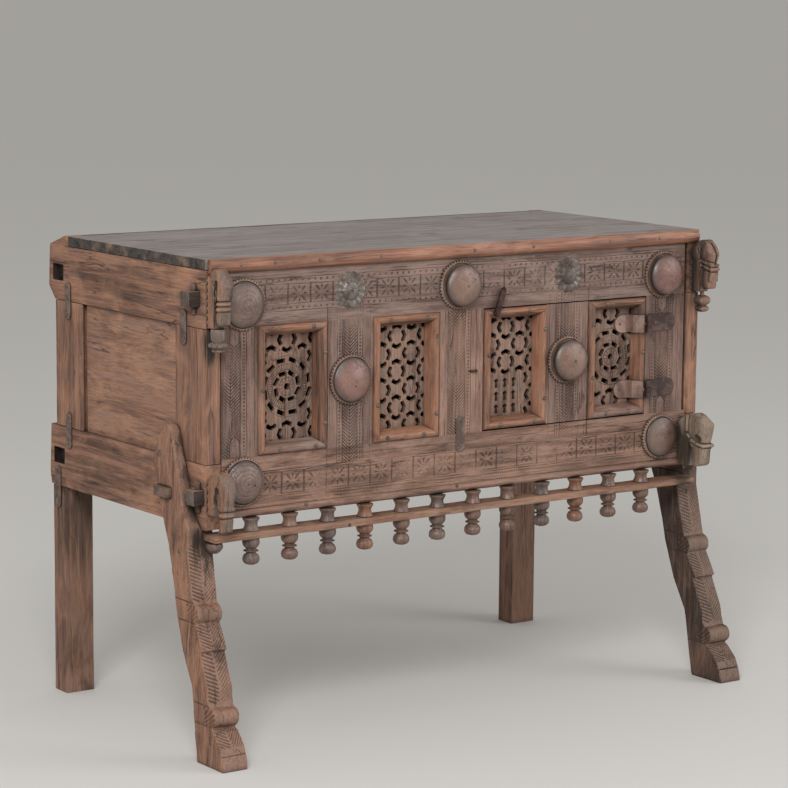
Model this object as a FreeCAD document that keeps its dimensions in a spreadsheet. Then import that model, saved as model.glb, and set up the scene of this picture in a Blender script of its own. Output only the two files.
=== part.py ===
import FreeCAD, Part
import math
import os
from types import SimpleNamespace

import Sketcher
from FreeCAD import Placement, Rotation, Vector

# Dowry cabinet on carved legs: framed sides, a pierced and bossed front with one hinged door,
# horse-head brackets at the front corners and a row of turned drops below. Millimetres, +Z up,
# the front faces -Y, and the origin is on the floor under the middle of the whole object. The left
# leg splays more than the right one, so the middle of the case stands a little right of the origin.

DRIVING_SIZES = (
    # The case as a whole
    ("case_width", 1060),
    ("case_shift", 10),
    ("case_height", 826),
    ("top_depth", 461),
    ("top_thick", 18),
    ("side_thick", 30),
    ("rail_overhang", 72),
    ("nosing_height", 24),
    ("nosing_depth", 13),
    # Front frame
    ("front_rail_depth", 46),
    ("top_rail_height", 97),
    ("opening_height", 217),
    ("sill_height", 102),
    ("sill_bead_height", 15),
    ("sill_bead_depth", 7),
    ("stile_depth", 30),
    ("left_stile_width", 70),
    ("right_stile_width", 97),
    ("seam_width", 7),
    ("seam_depth", 18),
    ("middle_stile_width", 95),
    ("board_thick", 24),
    # Pierced panes and their mouldings
    ("strip_width", 94),
    ("moulding_width", 20),
    ("moulding_lap", 14),
    ("moulding_crest", 8),
    ("jali_setback", 15),
    ("jali_thick", 8),
    ("door_gap", 2),
    # Side frames
    ("side_sill_drop", 15),
    ("side_sill_height", 109),
    ("side_stile_width", 96),
    ("rear_stile_inset", 25),
    ("panel_thick", 14),
    ("panel_recess", 5),
    ("panel_housing", 8),
    # Wedged tenons of the front rails
    ("top_tenon_inset", 18),
    ("sill_tenon_inset", 5),
    ("tenon_width", 28),
    ("tenon_height", 26),
    ("tusk_reach", 20),
    ("key_thick", 6),
    ("key_width", 10),
    ("key_length", 52),
    # Back and floor
    ("back_thick", 16),
    ("back_rail_height", 42),
    ("back_tenon_width", 38),
    ("back_tenon_height", 28),
    ("mortise_recess", 12),
    ("floor_thick", 16),
    ("floor_housing", 8),
    # Legs
    ("rear_leg_width", 55),
    ("rear_leg_depth", 44),
    ("foot_reach", 118),
    ("leg_thick", 48),
    ("leg_lap", 18),
    ("left_leg_splay", 2.33),
    ("right_leg_splay", 0.2),
    ("leg_key_length", 46),
    ("leg_key_height", 18),
    ("left_leg_key_reach", 31),
    ("right_leg_key_reach", 20),
    # Ornaments on the front
    ("bracket_thick", 22),
    ("lower_right_bracket_thick", 27),
    ("boss_height", 24),
    ("wide_boss_height", 17),
    ("collar_margin", 0.5),
    ("collar_rim", 6.5),
    ("collar_thick", 6),
    ("collar_tooth", 4),
    ("rosette_radius", 33),
    # Row of turned drops
    ("slat_thick", 17),
    ("slat_depth", 35),
    ("slat_drop", 19),
    ("drop_pitch", 76.5),
    ("drop_radius", 15),
    ("drop_shank_radius", 8),
    # Ironwork
    ("strap_thick", 3),
    ("side_strap_width", 18),
    ("hinge_strap_height", 32),
    ("hinge_leaf_reach", 58),
    ("hinge_stile_reach", 70),
    ("hinge_stand", 13.5),
    ("barrel_radius", 5),
    ("pin_radius", 2.5),
    ("pin_clearance", 0.05),
    ("seat_clearance", 0.3),
    ("latch_length", 49),
    ("latch_width", 11),
    ("latch_thick", 6),
    ("latch_tilt", 19),
)

doc = FreeCAD.newDocument("dowry_cabinet")
sheet = doc.addObject("Spreadsheet::Sheet", "Sizes")
for row, (alias, value) in enumerate(DRIVING_SIZES, start=1):
    sheet.set(f"A{row}", alias)
    sheet.set(f"B{row}", str(value))
    sheet.setAlias(f"B{row}", alias)
doc.recompute()


class Size:
    """A length with its expression on the sheet and its present value."""

    def __init__(self, text, value):
        self.text = text
        self.value = value

    def __add__(self, other):
        other = as_size(other)
        return Size(f"({self.text} + {other.text})", self.value + other.value)

    def __sub__(self, other):
        other = as_size(other)
        return Size(f"({self.text} - {other.text})", self.value - other.value)

    def __mul__(self, factor):
        return Size(f"({self.text} * {factor})", self.value * factor)

    def __truediv__(self, factor):
        return Size(f"({self.text} / {factor})", self.value / factor)

    def __neg__(self):
        return Size(f"(0 - {self.text})", -self.value)

    def __radd__(self, other):
        return as_size(other) + self

    def __rsub__(self, other):
        return as_size(other) - self


def as_size(length):
    if isinstance(length, Size):
        return length
    return Size(f"({length})", length)


def number(length):
    return as_size(length).value


s = SimpleNamespace(**{
    alias: Size(f"Sizes.{alias}", float(sheet.get(alias))) for alias, _ in DRIVING_SIZES
})

nodes = {}


# Ways to make and join the pieces


def bind(piece, prop, length):
    piece.setExpression(prop, as_size(length).text)


def place(piece, x=0, y=0, z=0, turn=Rotation()):
    piece.Placement = Placement(Vector(number(x), number(y), number(z)), turn)
    for axis, length in zip("xyz", (x, y, z)):
        bind(piece, f"Placement.Base.{axis}", length)


def box(name, x, y, z):
    piece = doc.addObject("Part::Box", name)
    for prop, (low, high) in zip(("Length", "Width", "Height"), (x, y, z)):
        bind(piece, prop, as_size(high) - low)
    place(piece, x[0], y[0], z[0])
    return piece


TURN_TO_AXIS = {
    "x": Rotation(Vector(0, 1, 0), 90),
    "y": Rotation(Vector(1, 0, 0), -90),
    "z": Rotation(),
}


def rod(name, axis, start, length, radius):
    piece = doc.addObject("Part::Cylinder", name)
    bind(piece, "Radius", radius)
    bind(piece, "Height", length)
    place(piece, *start, turn=TURN_TO_AXIS[axis])
    return piece


def fuse(name, *parts):
    piece = doc.addObject("Part::MultiFuse", name)
    piece.Shapes = list(parts)
    return piece


def cut(name, base, *tools):
    piece = doc.addObject("Part::Cut", name)
    piece.Base = base
    piece.Tool = tools[0] if len(tools) == 1 else group(name + "_tools", *tools)
    return piece


def common(name, first, second):
    piece = doc.addObject("Part::Common", name)
    piece.Base = first
    piece.Tool = second
    return piece


def group(name, *parts):
    piece = doc.addObject("Part::Compound", name)
    piece.Links = list(parts)
    return piece


def mirrored(name, source):
    piece = doc.addObject("Part::Mirroring", name)
    piece.Source = source
    piece.Normal = Vector(1, 0, 0)
    bind(piece, "Base.x", s.case_shift)
    return piece


def feature(name, shape):
    piece = doc.addObject("Part::Feature", name)
    piece.Shape = shape
    return piece


def keep(name, piece):
    """Make a finished piece a node of the part."""
    piece.Label = name
    nodes[name] = piece
    return piece


def keep_pair(name, left_piece):
    """Keep a left-hand piece and its mirror image on the right."""
    keep(name + "_left", left_piece)
    keep(name + "_right", mirrored(name + "_mirror", left_piece))


BALL = "ball"
UPRIGHT_AXIS = -2


def outlined(body, plane_role, path):
    """Draw a closed sketch in a body. A point (u, v) is reached by a straight line from the point
    before it, (u, v, mid_u, mid_v) by an arc through the middle point, and (u, v, BALL) by an arc
    about a centre on the upright axis."""
    plane = next(item for item in body.Origin.OriginFeatures if item.Role == plane_role)
    sketch = body.newObject("Sketcher::SketchObject", body.Name + "_outline")
    sketch.AttachmentSupport = [(plane, "")]
    sketch.MapMode = "FlatFace"
    corners = [Vector(number(point[0]), number(point[1]), 0) for point in path]
    starts, ends, fixed = [], [], []
    for index, point in enumerate(path):
        before, after = corners[index - 1], corners[index]
        start_end = (1, 2)
        if len(point) == 2:
            stretch = sketch.addGeometry(Part.LineSegment(before, after))
        else:
            if point[2] == BALL:
                rise = (after.dot(after) - before.dot(before)) / (2 * (after.y - before.y))
                centre = Vector(0, rise, 0)
                middle = before + (after - before) / 2
                middle = centre + (middle - centre).normalize() * before.distanceToPoint(centre)
            else:
                middle = Vector(number(point[2]), number(point[3]), 0)
                centre = Part.Circle(before, middle, after).Center
            angles = [math.atan2(end.y - centre.y, end.x - centre.x) for end in (before, after)]
            if (middle - before).cross(after - middle).z < 0:
                angles.reverse()
                start_end = (2, 1)
            circle = Part.Circle(centre, Vector(0, 0, 1), before.distanceToPoint(centre))
            stretch = sketch.addGeometry(Part.ArcOfCircle(circle, *angles))
            if point[2] == BALL:
                sketch.addConstraint(Sketcher.Constraint("PointOnObject", stretch, 3, UPRIGHT_AXIS))
            else:
                through = sketch.addGeometry(Part.Point(middle), True)
                sketch.addConstraint(Sketcher.Constraint("PointOnObject", through, 1, stretch))
                fixed.append((through, 1, point[2], point[3]))
        starts.append((stretch, start_end[0]))
        ends.append((stretch, start_end[1]))
        fixed.append((*ends[-1], point[0], point[1]))
    for end, start in zip(ends, starts[1:] + starts[:1]):
        sketch.addConstraint(Sketcher.Constraint("Coincident", *end, *start))
    for stretch, vertex, u, v in fixed:
        for kind, length in (("DistanceX", u), ("DistanceY", v)):
            measure = Sketcher.Constraint(kind, -1, 1, stretch, vertex, number(length))
            index = sketch.addConstraint(measure)
            if isinstance(length, Size):
                sketch.setExpression(f"Constraints[{index}]", length.text)
    return sketch


def padded(name, plane_role, path, length):
    """A board cut to an outline: the sketch on an origin plane, padded along that plane's normal."""
    body = doc.addObject("PartDesign::Body", name)
    pad = body.newObject("PartDesign::Pad", name + "_pad")
    pad.Profile = outlined(body, plane_role, path)
    bind(pad, "Length", length)
    body.Tip = pad
    return body


def turned(name, path):
    """A piece turned on the lathe: half its section, (radius, height), revolved about Z."""
    body = doc.addObject("PartDesign::Body", name)
    revolution = body.newObject("PartDesign::Revolution", name + "_turning")
    sketch = outlined(body, "XZ_Plane", path)
    revolution.Profile = sketch
    revolution.ReferenceAxis = (sketch, ["V_Axis"])
    revolution.Angle = 360
    body.Tip = revolution
    return body


# Levels and planes that the pieces share

half_width = s.case_width / 2
left_out, right_out = s.case_shift - half_width, s.case_shift + half_width
left_in, right_in = left_out + s.side_thick, right_out - s.side_thick
rail_length = s.top_depth + s.rail_overhang
front = (s.foot_reach - rail_length) / 2
back_face = front + s.top_depth
rail_end = front + rail_length
frame_top = s.case_height - s.top_thick
opening_top = frame_top - s.top_rail_height
opening_bottom = opening_top - s.opening_height
sill_bottom = opening_bottom - s.sill_height
shoulder = sill_bottom - s.side_sill_drop
side_sill_top = shoulder + s.side_sill_height
window_left = left_in + s.left_stile_width
hinge_side = right_in - s.right_stile_width
window_width = (hinge_side - window_left - s.middle_stile_width + s.door_gap) / 2
window_right = window_left + window_width
door_side = window_right + s.middle_stile_width
door_left, door_right = door_side + s.door_gap, hinge_side - s.door_gap
pane_width = (window_width - s.strip_width) / 2
hinge_pane_width = door_right - door_left - pane_width - s.strip_width - s.door_gap
rear_leg_front = back_face + s.back_thick
rear_leg_back = rear_leg_front + s.rear_leg_depth
rear_leg_in = left_out + s.rear_leg_width
right_rear_leg_in = right_out - s.rear_leg_width
top_rail_middle = (frame_top + opening_top) / 2
side_sill_middle = (side_sill_top + shoulder) / 2

# Front rails: long tenons run through the side frames and are wedged outside by upright keys


def wedged_tenon(name, inset, level):
    tenon_front = front + inset
    tenon = box(
        name + "_tenon",
        (left_out - s.tusk_reach, right_out + s.tusk_reach),
        (tenon_front, tenon_front + s.tenon_width),
        (level - s.tenon_height / 2, level + s.tenon_height / 2),
    )
    key_middle = tenon_front + s.tenon_width / 2
    key = box(
        name + "_key",
        (left_out - s.key_thick, left_out),
        (key_middle - s.key_width / 2, key_middle + s.key_width / 2),
        (level - s.key_length / 2, level + s.key_length / 2),
    )
    return tenon, key, mirrored(name + "_key_mirror", key)


top_tenon, *top_keys = wedged_tenon("top_rail", s.top_tenon_inset, top_rail_middle)
sill_tenon, *sill_keys = wedged_tenon("sill", s.sill_tenon_inset, side_sill_middle)
keep("tusk_keys", group("tusk_key_set", *top_keys, *sill_keys))

top_beam = box(
    "top_beam", (left_in, right_in), (front, front + s.front_rail_depth), (opening_top, frame_top)
)
seam = box(
    "seam_gap",
    (right_in - s.seam_width, right_in),
    (front, front + s.seam_depth),
    (opening_bottom, frame_top),
)
top_rail_blank = fuse("top_rail_blank", top_beam, top_tenon)
keep("front_top_rail", cut("top_rail_slotted", top_rail_blank, *top_keys, seam))

bead_top = sill_bottom + s.sill_bead_height
sill_beam = padded(
    "sill_beam",
    "YZ_Plane",
    [
        (front, opening_bottom),
        (front + s.front_rail_depth, opening_bottom),
        (front + s.front_rail_depth, sill_bottom),
        (front, sill_bottom),
        (front, bead_top, front - s.sill_bead_depth, (sill_bottom + bead_top) / 2),
    ],
    right_in - left_in,
)
place(sill_beam, x=left_in)
keep("front_bottom_rail", cut("sill_slotted", fuse("sill_blank", sill_beam, sill_tenon), *sill_keys))

# Front stiles, with an open seam at the right-hand end of the frame

opening_levels = (opening_bottom, opening_top)
for name, low, high in (
    ("left", left_in, window_left),
    ("middle", window_right, door_side),
    ("right", hinge_side, right_in),
):
    stile = box("stile_" + name, (low, high), (front, front + s.stile_depth), opening_levels)
    keep("front_stile_" + name, cut("stile_right_cut", stile, seam) if name == "right" else stile)


# Pierced panes: each is a jali let into its board behind a mitred moulding of four strips


def moulding_section():
    """Section of a strip as (distance in from the outer edge, depth behind the board's face)."""
    width, lap = number(s.moulding_width), number(s.moulding_lap)
    crest, setback = number(s.moulding_crest), number(s.jali_setback)
    return [
        (0, 0),
        (0, -0.5 * crest),
        (0.15 * width, -0.93 * crest),
        (0.35 * width, -crest),
        (0.6 * width, -0.55 * crest),
        (0.85 * width, 0.27 * setback),
        (width, setback),
        (lap, setback),
        (lap, 0),
    ]


def mitred_moulding(x_low, x_high, z_low, z_high):
    """Four strips round a pane, each running between two mitres."""
    corners = [
        (x_low, z_low, 1, 1),
        (x_high, z_low, -1, 1),
        (x_high, z_high, -1, -1),
        (x_low, z_high, 1, -1),
    ]
    mitres = []
    for x, z, x_inward, z_inward in corners:
        points = [
            Vector(x + x_inward * inward, number(front) + depth, z + z_inward * inward)
            for inward, depth in moulding_section()
        ]
        mitres.append(Part.makePolygon(points + points[:1]))
    strips = []
    for index, mitre in enumerate(mitres):
        strips.append(Part.makeLoft([mitres[index - 1], mitre], True, True))
    return Part.makeCompound(strips)


def turned_points(points, centre, angle):
    cosine, sine = math.cos(angle), math.sin(angle)
    return [
        (centre[0] + u * cosine - v * sine, centre[1] + u * sine + v * cosine) for u, v in points
    ]


CHEVRON = [(0, 10.5), (5, 0), (0, -10.5), (-6.5, -8), (-2, 0), (-6.5, 8)]
KEYHOLE = [(-3, -8), (3, -8), (2, 1), (4.5, 5), (0, 8.5), (-4.5, 5), (-2, 1)]
STAR_STEP = 62
STAR_SIDE = 15
STAR_RISE = 18
NET_MIDDLE = (-8, 8)
KEYHOLE_COLUMNS = (-28, -9, 10)
KEYHOLE_ROWS = (-29, -52, -75)
KEYHOLE_CLEARANCE = 11
EYE_RADIUS = 6
INNER_RING_RADIUS, INNER_SLOT_COUNT, INNER_SLOT_LENGTH = 23, 8, 14
OUTER_RING_RADIUS, OUTER_SLOT_COUNT, OUTER_SLOT_LENGTH = 45, 12, 16
WHEEL_RADIUS = 53
CORNER_STAR_HEIGHT = 80


def star_holes(u, v):
    """Four chevrons that point away from the middle of a star."""
    arms = ((STAR_SIDE, 0, 0), (0, STAR_RISE, 90), (-STAR_SIDE, 0, 180), (0, -STAR_RISE, 270))
    return [
        turned_points(CHEVRON, (u + du, v + dv), math.radians(angle)) for du, dv, angle in arms
    ]


def net_holes(half_height, middle):
    """Stars on a square net with another star in the middle of each square."""
    holes = []
    rows = math.ceil(2 * half_height / STAR_STEP) + 1
    for row in range(-rows, rows + 1):
        shift = STAR_STEP / 2 if row % 2 else 0
        for column in (-2, -1, 0, 1):
            u = middle[0] + column * STAR_STEP + shift
            holes += star_holes(u, middle[1] + row * STAR_STEP / 2)
    return holes


def lattice_holes(half_height):
    return net_holes(half_height, NET_MIDDLE)


def mended_holes(half_height):
    """The star net, with rows of keyholes where the lower part was cut again."""
    top = max(KEYHOLE_ROWS) + KEYHOLE_CLEARANCE
    side = max(KEYHOLE_COLUMNS) + KEYHOLE_CLEARANCE
    holes = [
        hole for hole in lattice_holes(half_height)
        if min(v for _, v in hole) > top or min(u for u, _ in hole) > side
    ]
    for u in KEYHOLE_COLUMNS:
        for v in KEYHOLE_ROWS:
            holes.append(turned_points(KEYHOLE, (u, v), 0))
    return holes


def slanted_slot(length):
    return [(-5, -length / 2), (2.4, -length / 2), (5, length / 2), (-2.4, length / 2)]


def rosette_holes(half_height):
    """A wheel of slanted slots in two rings about a round eye, with the star net above and below."""
    corner_turns = [math.pi / 3 * corner for corner in range(6)]
    holes = [[(EYE_RADIUS * math.cos(turn), EYE_RADIUS * math.sin(turn)) for turn in corner_turns]]
    rings = (
        (INNER_RING_RADIUS, INNER_SLOT_COUNT, INNER_SLOT_LENGTH),
        (OUTER_RING_RADIUS, OUTER_SLOT_COUNT, OUTER_SLOT_LENGTH),
    )
    for radius, count, length in rings:
        for index in range(count):
            turn = 2 * math.pi * (index + 0.5) / count
            centre = (radius * math.cos(turn), radius * math.sin(turn))
            holes.append(turned_points(slanted_slot(length), centre, turn))
    for hole in net_holes(half_height, (0, CORNER_STAR_HEIGHT)):
        if min(v for _, v in hole) > 0 and min(math.hypot(u, v) for u, v in hole) > WHEEL_RADIUS:
            holes += [hole, [(u, -v) for u, v in hole]]
    return holes


JALI_RIM = 1.5
LEAST_HOLE = 12


def upright_wire(middle, outline):
    points = [middle + Vector(u, 0, v) for u, v in outline]
    return Part.makePolygon(points + points[:1])


def rectangle(half_width, half_height):
    return [
        (-half_width, -half_height), (half_width, -half_height),
        (half_width, half_height), (-half_width, half_height),
    ]


def pierced_panel(x_low, x_high, z_low, z_high, pattern):
    """A thin board pierced with the holes of the pattern, cut short at its rim."""
    middle = Vector((x_low + x_high) / 2, number(front + s.jali_setback), (z_low + z_high) / 2)
    half = ((x_high - x_low) / 2, (z_high - z_low) / 2)
    inside = Part.Face(upright_wire(middle, rectangle(half[0] - JALI_RIM, half[1] - JALI_RIM)))
    wires = [upright_wire(middle, rectangle(*half))]
    for outline in pattern(half[1]):
        hole = Part.Face(upright_wire(middle, outline)).common(inside)
        wires += [face.OuterWire for face in hole.Faces if face.Area > LEAST_HOLE]
    return Part.makeFace(wires, "Part::FaceMakerBullseye").extrude(Vector(0, number(s.jali_thick), 0))


def pane(name, x, z, pattern):
    """Keep a pane's jali, and give back its moulding and the cutter of its window in the board."""
    window_x = (x[0] + s.moulding_lap, x[1] - s.moulding_lap)
    window_z = (z[0] + s.moulding_lap, z[1] - s.moulding_lap)
    panel_limits = [number(limit) for limit in (*window_x, *window_z)]
    keep("jali_" + name, feature("jali_" + name, pierced_panel(*panel_limits, pattern)))
    moulding_limits = [number(limit) for limit in (*x, *z)]
    moulding = feature("moulding_strips_" + name, mitred_moulding(*moulding_limits))
    cutter = box("window_" + name, window_x, (front, front + s.board_thick), window_z)
    return moulding, cutter


# Fixed board on the left with two panes

outer_moulding, outer_window = pane(
    "window_outer", (window_left, window_left + pane_width), opening_levels, rosette_holes
)
inner_moulding, inner_window = pane(
    "window_inner", (window_right - pane_width, window_right), opening_levels, lattice_holes
)
keep("moulding_window_outer", outer_moulding)
keep("moulding_window_inner", inner_moulding)
board_depth = (front, front + s.board_thick)
window_blank = box("window_blank", (window_left, window_right), board_depth, opening_levels)
keep("window_board", cut("window_board_cut", window_blank, outer_window, inner_window))

# Door: a board with two panes, hung on the right

door_levels = (opening_bottom + s.door_gap, opening_top - s.door_gap)
latch_moulding, latch_window = pane(
    "door_inner", (door_left, door_left + pane_width), door_levels, mended_holes
)
hinge_moulding, hinge_window = pane(
    "door_outer", (door_right - hinge_pane_width, door_right), door_levels, rosette_holes
)
keep("moulding_door_outer", hinge_moulding)
door_blank = box("door_blank", (door_left, door_right), board_depth, door_levels)
keep("door_board", cut("door_board_cut", door_blank, latch_window, hinge_window))

# Latch: an iron bar that turns on a pin in the corner of the door's moulding

PIN_HEAD_THICK = 2
latch_x = door_left + s.moulding_width
latch_z = door_levels[1] - s.moulding_width * 0.4
crest_y = front - s.moulding_crest
latch_back = crest_y - s.seat_clearance
pin_tip = front - s.moulding_crest / 4
pin_neck = latch_back - s.latch_thick - s.seat_clearance
latch_shank = rod("latch_shank", "y", (latch_x, pin_neck, latch_z), pin_tip - pin_neck, s.pin_radius)
head_place = (latch_x, pin_neck - PIN_HEAD_THICK, latch_z)
latch_head = rod("latch_head", "y", head_place, PIN_HEAD_THICK, s.pin_radius * 1.7)
keep("latch_pin", fuse("latch_pin_fused", latch_shank, latch_head))
pin_bore_radius = s.pin_radius + s.pin_clearance
pin_hole = rod("latch_pin_hole", "y", (latch_x, pin_neck, latch_z), pin_tip - pin_neck, pin_bore_radius)
keep("moulding_door_inner", cut("moulding_door_drilled", latch_moulding, pin_hole))

half_latch = s.latch_width / 2
latch_blank = padded(
    "latch_blank",
    "XZ_Plane",
    [
        (half_latch, 0, 0, -half_latch),
        (half_latch, s.latch_length - half_latch),
        (0, s.latch_length),
        (-half_latch, s.latch_length - half_latch),
        (-half_latch, 0),
    ],
    s.latch_thick,
)
latch_bore = rod("latch_bore", "y", (0, -s.latch_thick, 0), s.latch_thick, pin_bore_radius)
latch_bar = cut("latch_bar_drilled", latch_blank, latch_bore)
place(latch_bar, latch_x, latch_back, latch_z, Rotation(Vector(0, 1, 0), number(s.latch_tilt)))
keep("latch_bar", latch_bar)

# Strap hinges: the door's leaf is bent over the moulding and ends on the jali

hinge_x = hinge_side - s.door_gap / 2
hinge_y = front - s.hinge_stand
jali_face = front + s.jali_setback
BARREL_PLAY = 0.2
LEAF_SLACK = 1
leaf_gap = s.seat_clearance
leaf_clear = s.barrel_radius + s.seat_clearance * 2
third = s.hinge_strap_height / 3
middle_barrel = (third + BARREL_PLAY, third * 2 - BARREL_PLAY)


def strap_outline(name, tip_x, end_x):
    """Front view of a strap: a rounded tip at one end and square at the other."""
    half = s.hinge_strap_height / 2
    shoulder_x = tip_x + half if number(tip_x) < number(end_x) else tip_x - half
    path = [
        (end_x, 0),
        (end_x, s.hinge_strap_height),
        (shoulder_x, s.hinge_strap_height),
        (shoulder_x, 0, tip_x, half),
    ]
    outline = padded(name, "XZ_Plane", path, s.jali_setback + s.hinge_stand * 2)
    place(outline, y=jali_face)
    return outline


def hinge(name, level):
    """One hinge at a height: the door's strap, the stile's strap and their pin."""
    edge = door_right
    over, under = crest_y - leaf_gap - s.strap_thick, crest_y - leaf_gap
    rest, rest_front = jali_face - leaf_gap, jali_face - leaf_gap - s.strap_thick
    bend = edge - s.moulding_width - LEAF_SLACK
    path = [
        (hinge_x - leaf_clear, over),
        (hinge_x - leaf_clear, under),
        (edge - s.moulding_width * 0.42, under),
        (bend, rest - s.jali_setback * 0.75),
        (bend - LEAF_SLACK, rest),
        (edge - s.hinge_leaf_reach, rest),
        (edge - s.hinge_leaf_reach, rest_front),
        (bend - LEAF_SLACK - s.strap_thick, rest_front),
        (bend - s.strap_thick, rest_front - s.jali_setback * 0.6),
        (edge - s.moulding_width * 0.55, over),
    ]
    leaf_blank = padded(name + "_leaf_blank", "XY_Plane", path, s.hinge_strap_height)
    leaf_shape = strap_outline(name + "_leaf_shape", edge - s.hinge_leaf_reach, hinge_x)
    leaf = common(name + "_leaf", leaf_blank, leaf_shape)
    leaf_tab = box(name + "_leaf_tab", (hinge_x - leaf_clear, hinge_x), (over, under), middle_barrel)
    barrel_place = (hinge_x, hinge_y, middle_barrel[0])
    barrel_length = middle_barrel[1] - middle_barrel[0]
    leaf_barrel = rod(name + "_leaf_barrel", "z", barrel_place, barrel_length, s.barrel_radius)
    bore = rod(name + "_bore", "z", (hinge_x, hinge_y, 0), s.hinge_strap_height, pin_bore_radius)
    leaf_fused = fuse(name + "_leaf_fused", leaf, leaf_tab, leaf_barrel)
    door_strap = cut(name + "_door_strap", leaf_fused, bore)
    place(door_strap, z=level)

    stile_path = [
        (hinge_x + leaf_clear, over),
        (hinge_x + leaf_clear + s.strap_thick, over),
        (hinge_x + leaf_clear + s.strap_thick * 2, front - s.strap_thick),
        (hinge_x + s.hinge_stile_reach, front - s.strap_thick),
        (hinge_x + s.hinge_stile_reach, front),
        (hinge_x + leaf_clear, front),
    ]
    stile_blank = padded(name + "_stile_blank", "XY_Plane", stile_path, s.hinge_strap_height)
    stile_shape = strap_outline(name + "_stile_shape", hinge_x + s.hinge_stile_reach, hinge_x)
    stile_strap = common(name + "_stile_leaf", stile_blank, stile_shape)
    barrels = []
    tab_x = (hinge_x, hinge_x + leaf_clear + s.strap_thick)
    for end, low in (("low", as_size(0)), ("high", third * 2)):
        barrels.append(box(f"{name}_{end}_tab", tab_x, (over, under), (low, low + third)))
        barrels.append(rod(f"{name}_{end}_barrel", "z", (hinge_x, hinge_y, low), third, s.barrel_radius))
    stile_strap = cut(name + "_stile_strap", fuse(name + "_stile_fused", stile_strap, *barrels), bore)
    place(stile_strap, z=level)

    pin = rod(name + "_pin", "z", (hinge_x, hinge_y, level), s.hinge_strap_height, s.pin_radius)
    return door_strap, stile_strap, pin


UPPER_HINGE = 151
LOWER_HINGE = 31
hinges = [
    hinge("upper_hinge", opening_bottom + UPPER_HINGE),
    hinge("lower_hinge", opening_bottom + LOWER_HINGE),
]
for name, pieces in zip(("hinge_door_straps", "hinge_stile_straps", "hinge_pins"), zip(*hinges)):
    keep(name, group(name + "_set", *pieces))

# Side frames: rails that run past the back, stiles between them, and a panel let into grooves

side_x = (left_out, left_in)
front_stile_y = (front, front + s.side_stile_width)
rear_stile_back = rail_end - s.rear_stile_inset
rear_stile_y = (rear_stile_back - s.side_stile_width, rear_stile_back)
panel = box(
    "side_panel_board",
    (left_out + s.panel_recess, left_out + s.panel_recess + s.panel_thick),
    (front_stile_y[1] - s.panel_housing, rear_stile_y[0] + s.panel_housing),
    (side_sill_top - s.panel_housing, opening_top + s.panel_housing),
)
keep_pair("side_panel", panel)


def back_tenon(name, level):
    middle = (rear_leg_front + rear_leg_back) / 2
    return box(
        name,
        (left_out + s.mortise_recess, right_out - s.mortise_recess),
        (middle - s.back_tenon_width / 2, middle + s.back_tenon_width / 2),
        (level - s.back_tenon_height / 2, level + s.back_tenon_height / 2),
    )


def back_mortise(name, level):
    """The mortise goes right through the side, and the tenon in it stops short of the outside."""
    middle = (rear_leg_front + rear_leg_back) / 2
    return box(
        name,
        (left_out, rear_leg_in),
        (middle - s.back_tenon_width / 2, middle + s.back_tenon_width / 2),
        (level - s.back_tenon_height / 2, level + s.back_tenon_height / 2),
    )


floor_x = (left_in - s.floor_housing, right_in + s.floor_housing)
floor_y = (front + s.front_rail_depth, back_face)
floor_z = (side_sill_top - s.floor_thick, side_sill_top)
floor_housing = box("floor_space", floor_x, floor_y, floor_z)

HORN_WIDTH = 14
RAIL_END_SLOPE = 5
RAIL_END_CHAMFER = 23
side_top_rail = padded(
    "side_top_rail_blank",
    "YZ_Plane",
    [
        (front, opening_top),
        (front, frame_top),
        (back_face, frame_top),
        (back_face, s.case_height),
        (back_face + HORN_WIDTH, s.case_height),
        (rail_end - RAIL_END_SLOPE, frame_top),
        (rail_end, opening_top + RAIL_END_CHAMFER),
        (rail_end - RAIL_END_CHAMFER, opening_top),
    ],
    s.side_thick,
)
place(side_top_rail, x=left_out)
top_mortise = back_mortise("top_mortise", top_rail_middle)
keep_pair("side_top_rail", cut("side_top_rail_cut", side_top_rail, panel, top_tenon, top_mortise))

side_sill = padded(
    "side_sill_blank",
    "YZ_Plane",
    [
        (front, shoulder),
        (front, side_sill_top),
        (rail_end - RAIL_END_SLOPE, side_sill_top),
        (rail_end, shoulder + RAIL_END_CHAMFER),
        (rail_end - RAIL_END_SLOPE, shoulder),
    ],
    s.side_thick,
)
place(side_sill, x=left_out)
sill_mortise = back_mortise("sill_mortise", side_sill_middle)
keep_pair(
    "side_bottom_rail", cut("side_sill_cut", side_sill, panel, sill_tenon, sill_mortise, floor_housing)
)

stile_levels = (side_sill_top, opening_top)
for end, stile_y in (("front", front_stile_y), ("rear", rear_stile_y)):
    post = box(f"side_{end}_post", side_x, stile_y, stile_levels)
    keep_pair(f"side_{end}_stile", cut(f"side_{end}_stile_cut", post, panel))

# Rear legs: square posts under the side frames, with a tongue that runs up inside them

rear_leg_y = (rear_leg_front, rear_leg_back)
rear_leg_post = box("rear_leg_post", (left_out, rear_leg_in), rear_leg_y, (0, shoulder))
rear_leg_tongue = box("rear_leg_tongue", (left_in, rear_leg_in), rear_leg_y, (shoulder, frame_top))
rear_leg = fuse("rear_leg_blank", rear_leg_post, rear_leg_tongue)
keep_pair("rear_leg", cut("rear_leg_cut", rear_leg, top_mortise, sill_mortise))

# Back: two rails tenoned through legs and side frames, and boards laid across in front of the legs

back_rails = []
for name, level in (("top", top_rail_middle), ("bottom", side_sill_middle)):
    beam = box(
        f"back_{name}_beam",
        (rear_leg_in, right_rear_leg_in),
        rear_leg_y,
        (level - s.back_rail_height / 2, level + s.back_rail_height / 2),
    )
    back_rails.append(fuse(f"back_{name}_rail", beam, back_tenon(f"back_{name}_tenon", level)))
keep("back_rails", group("back_rail_pair", *back_rails))


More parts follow.
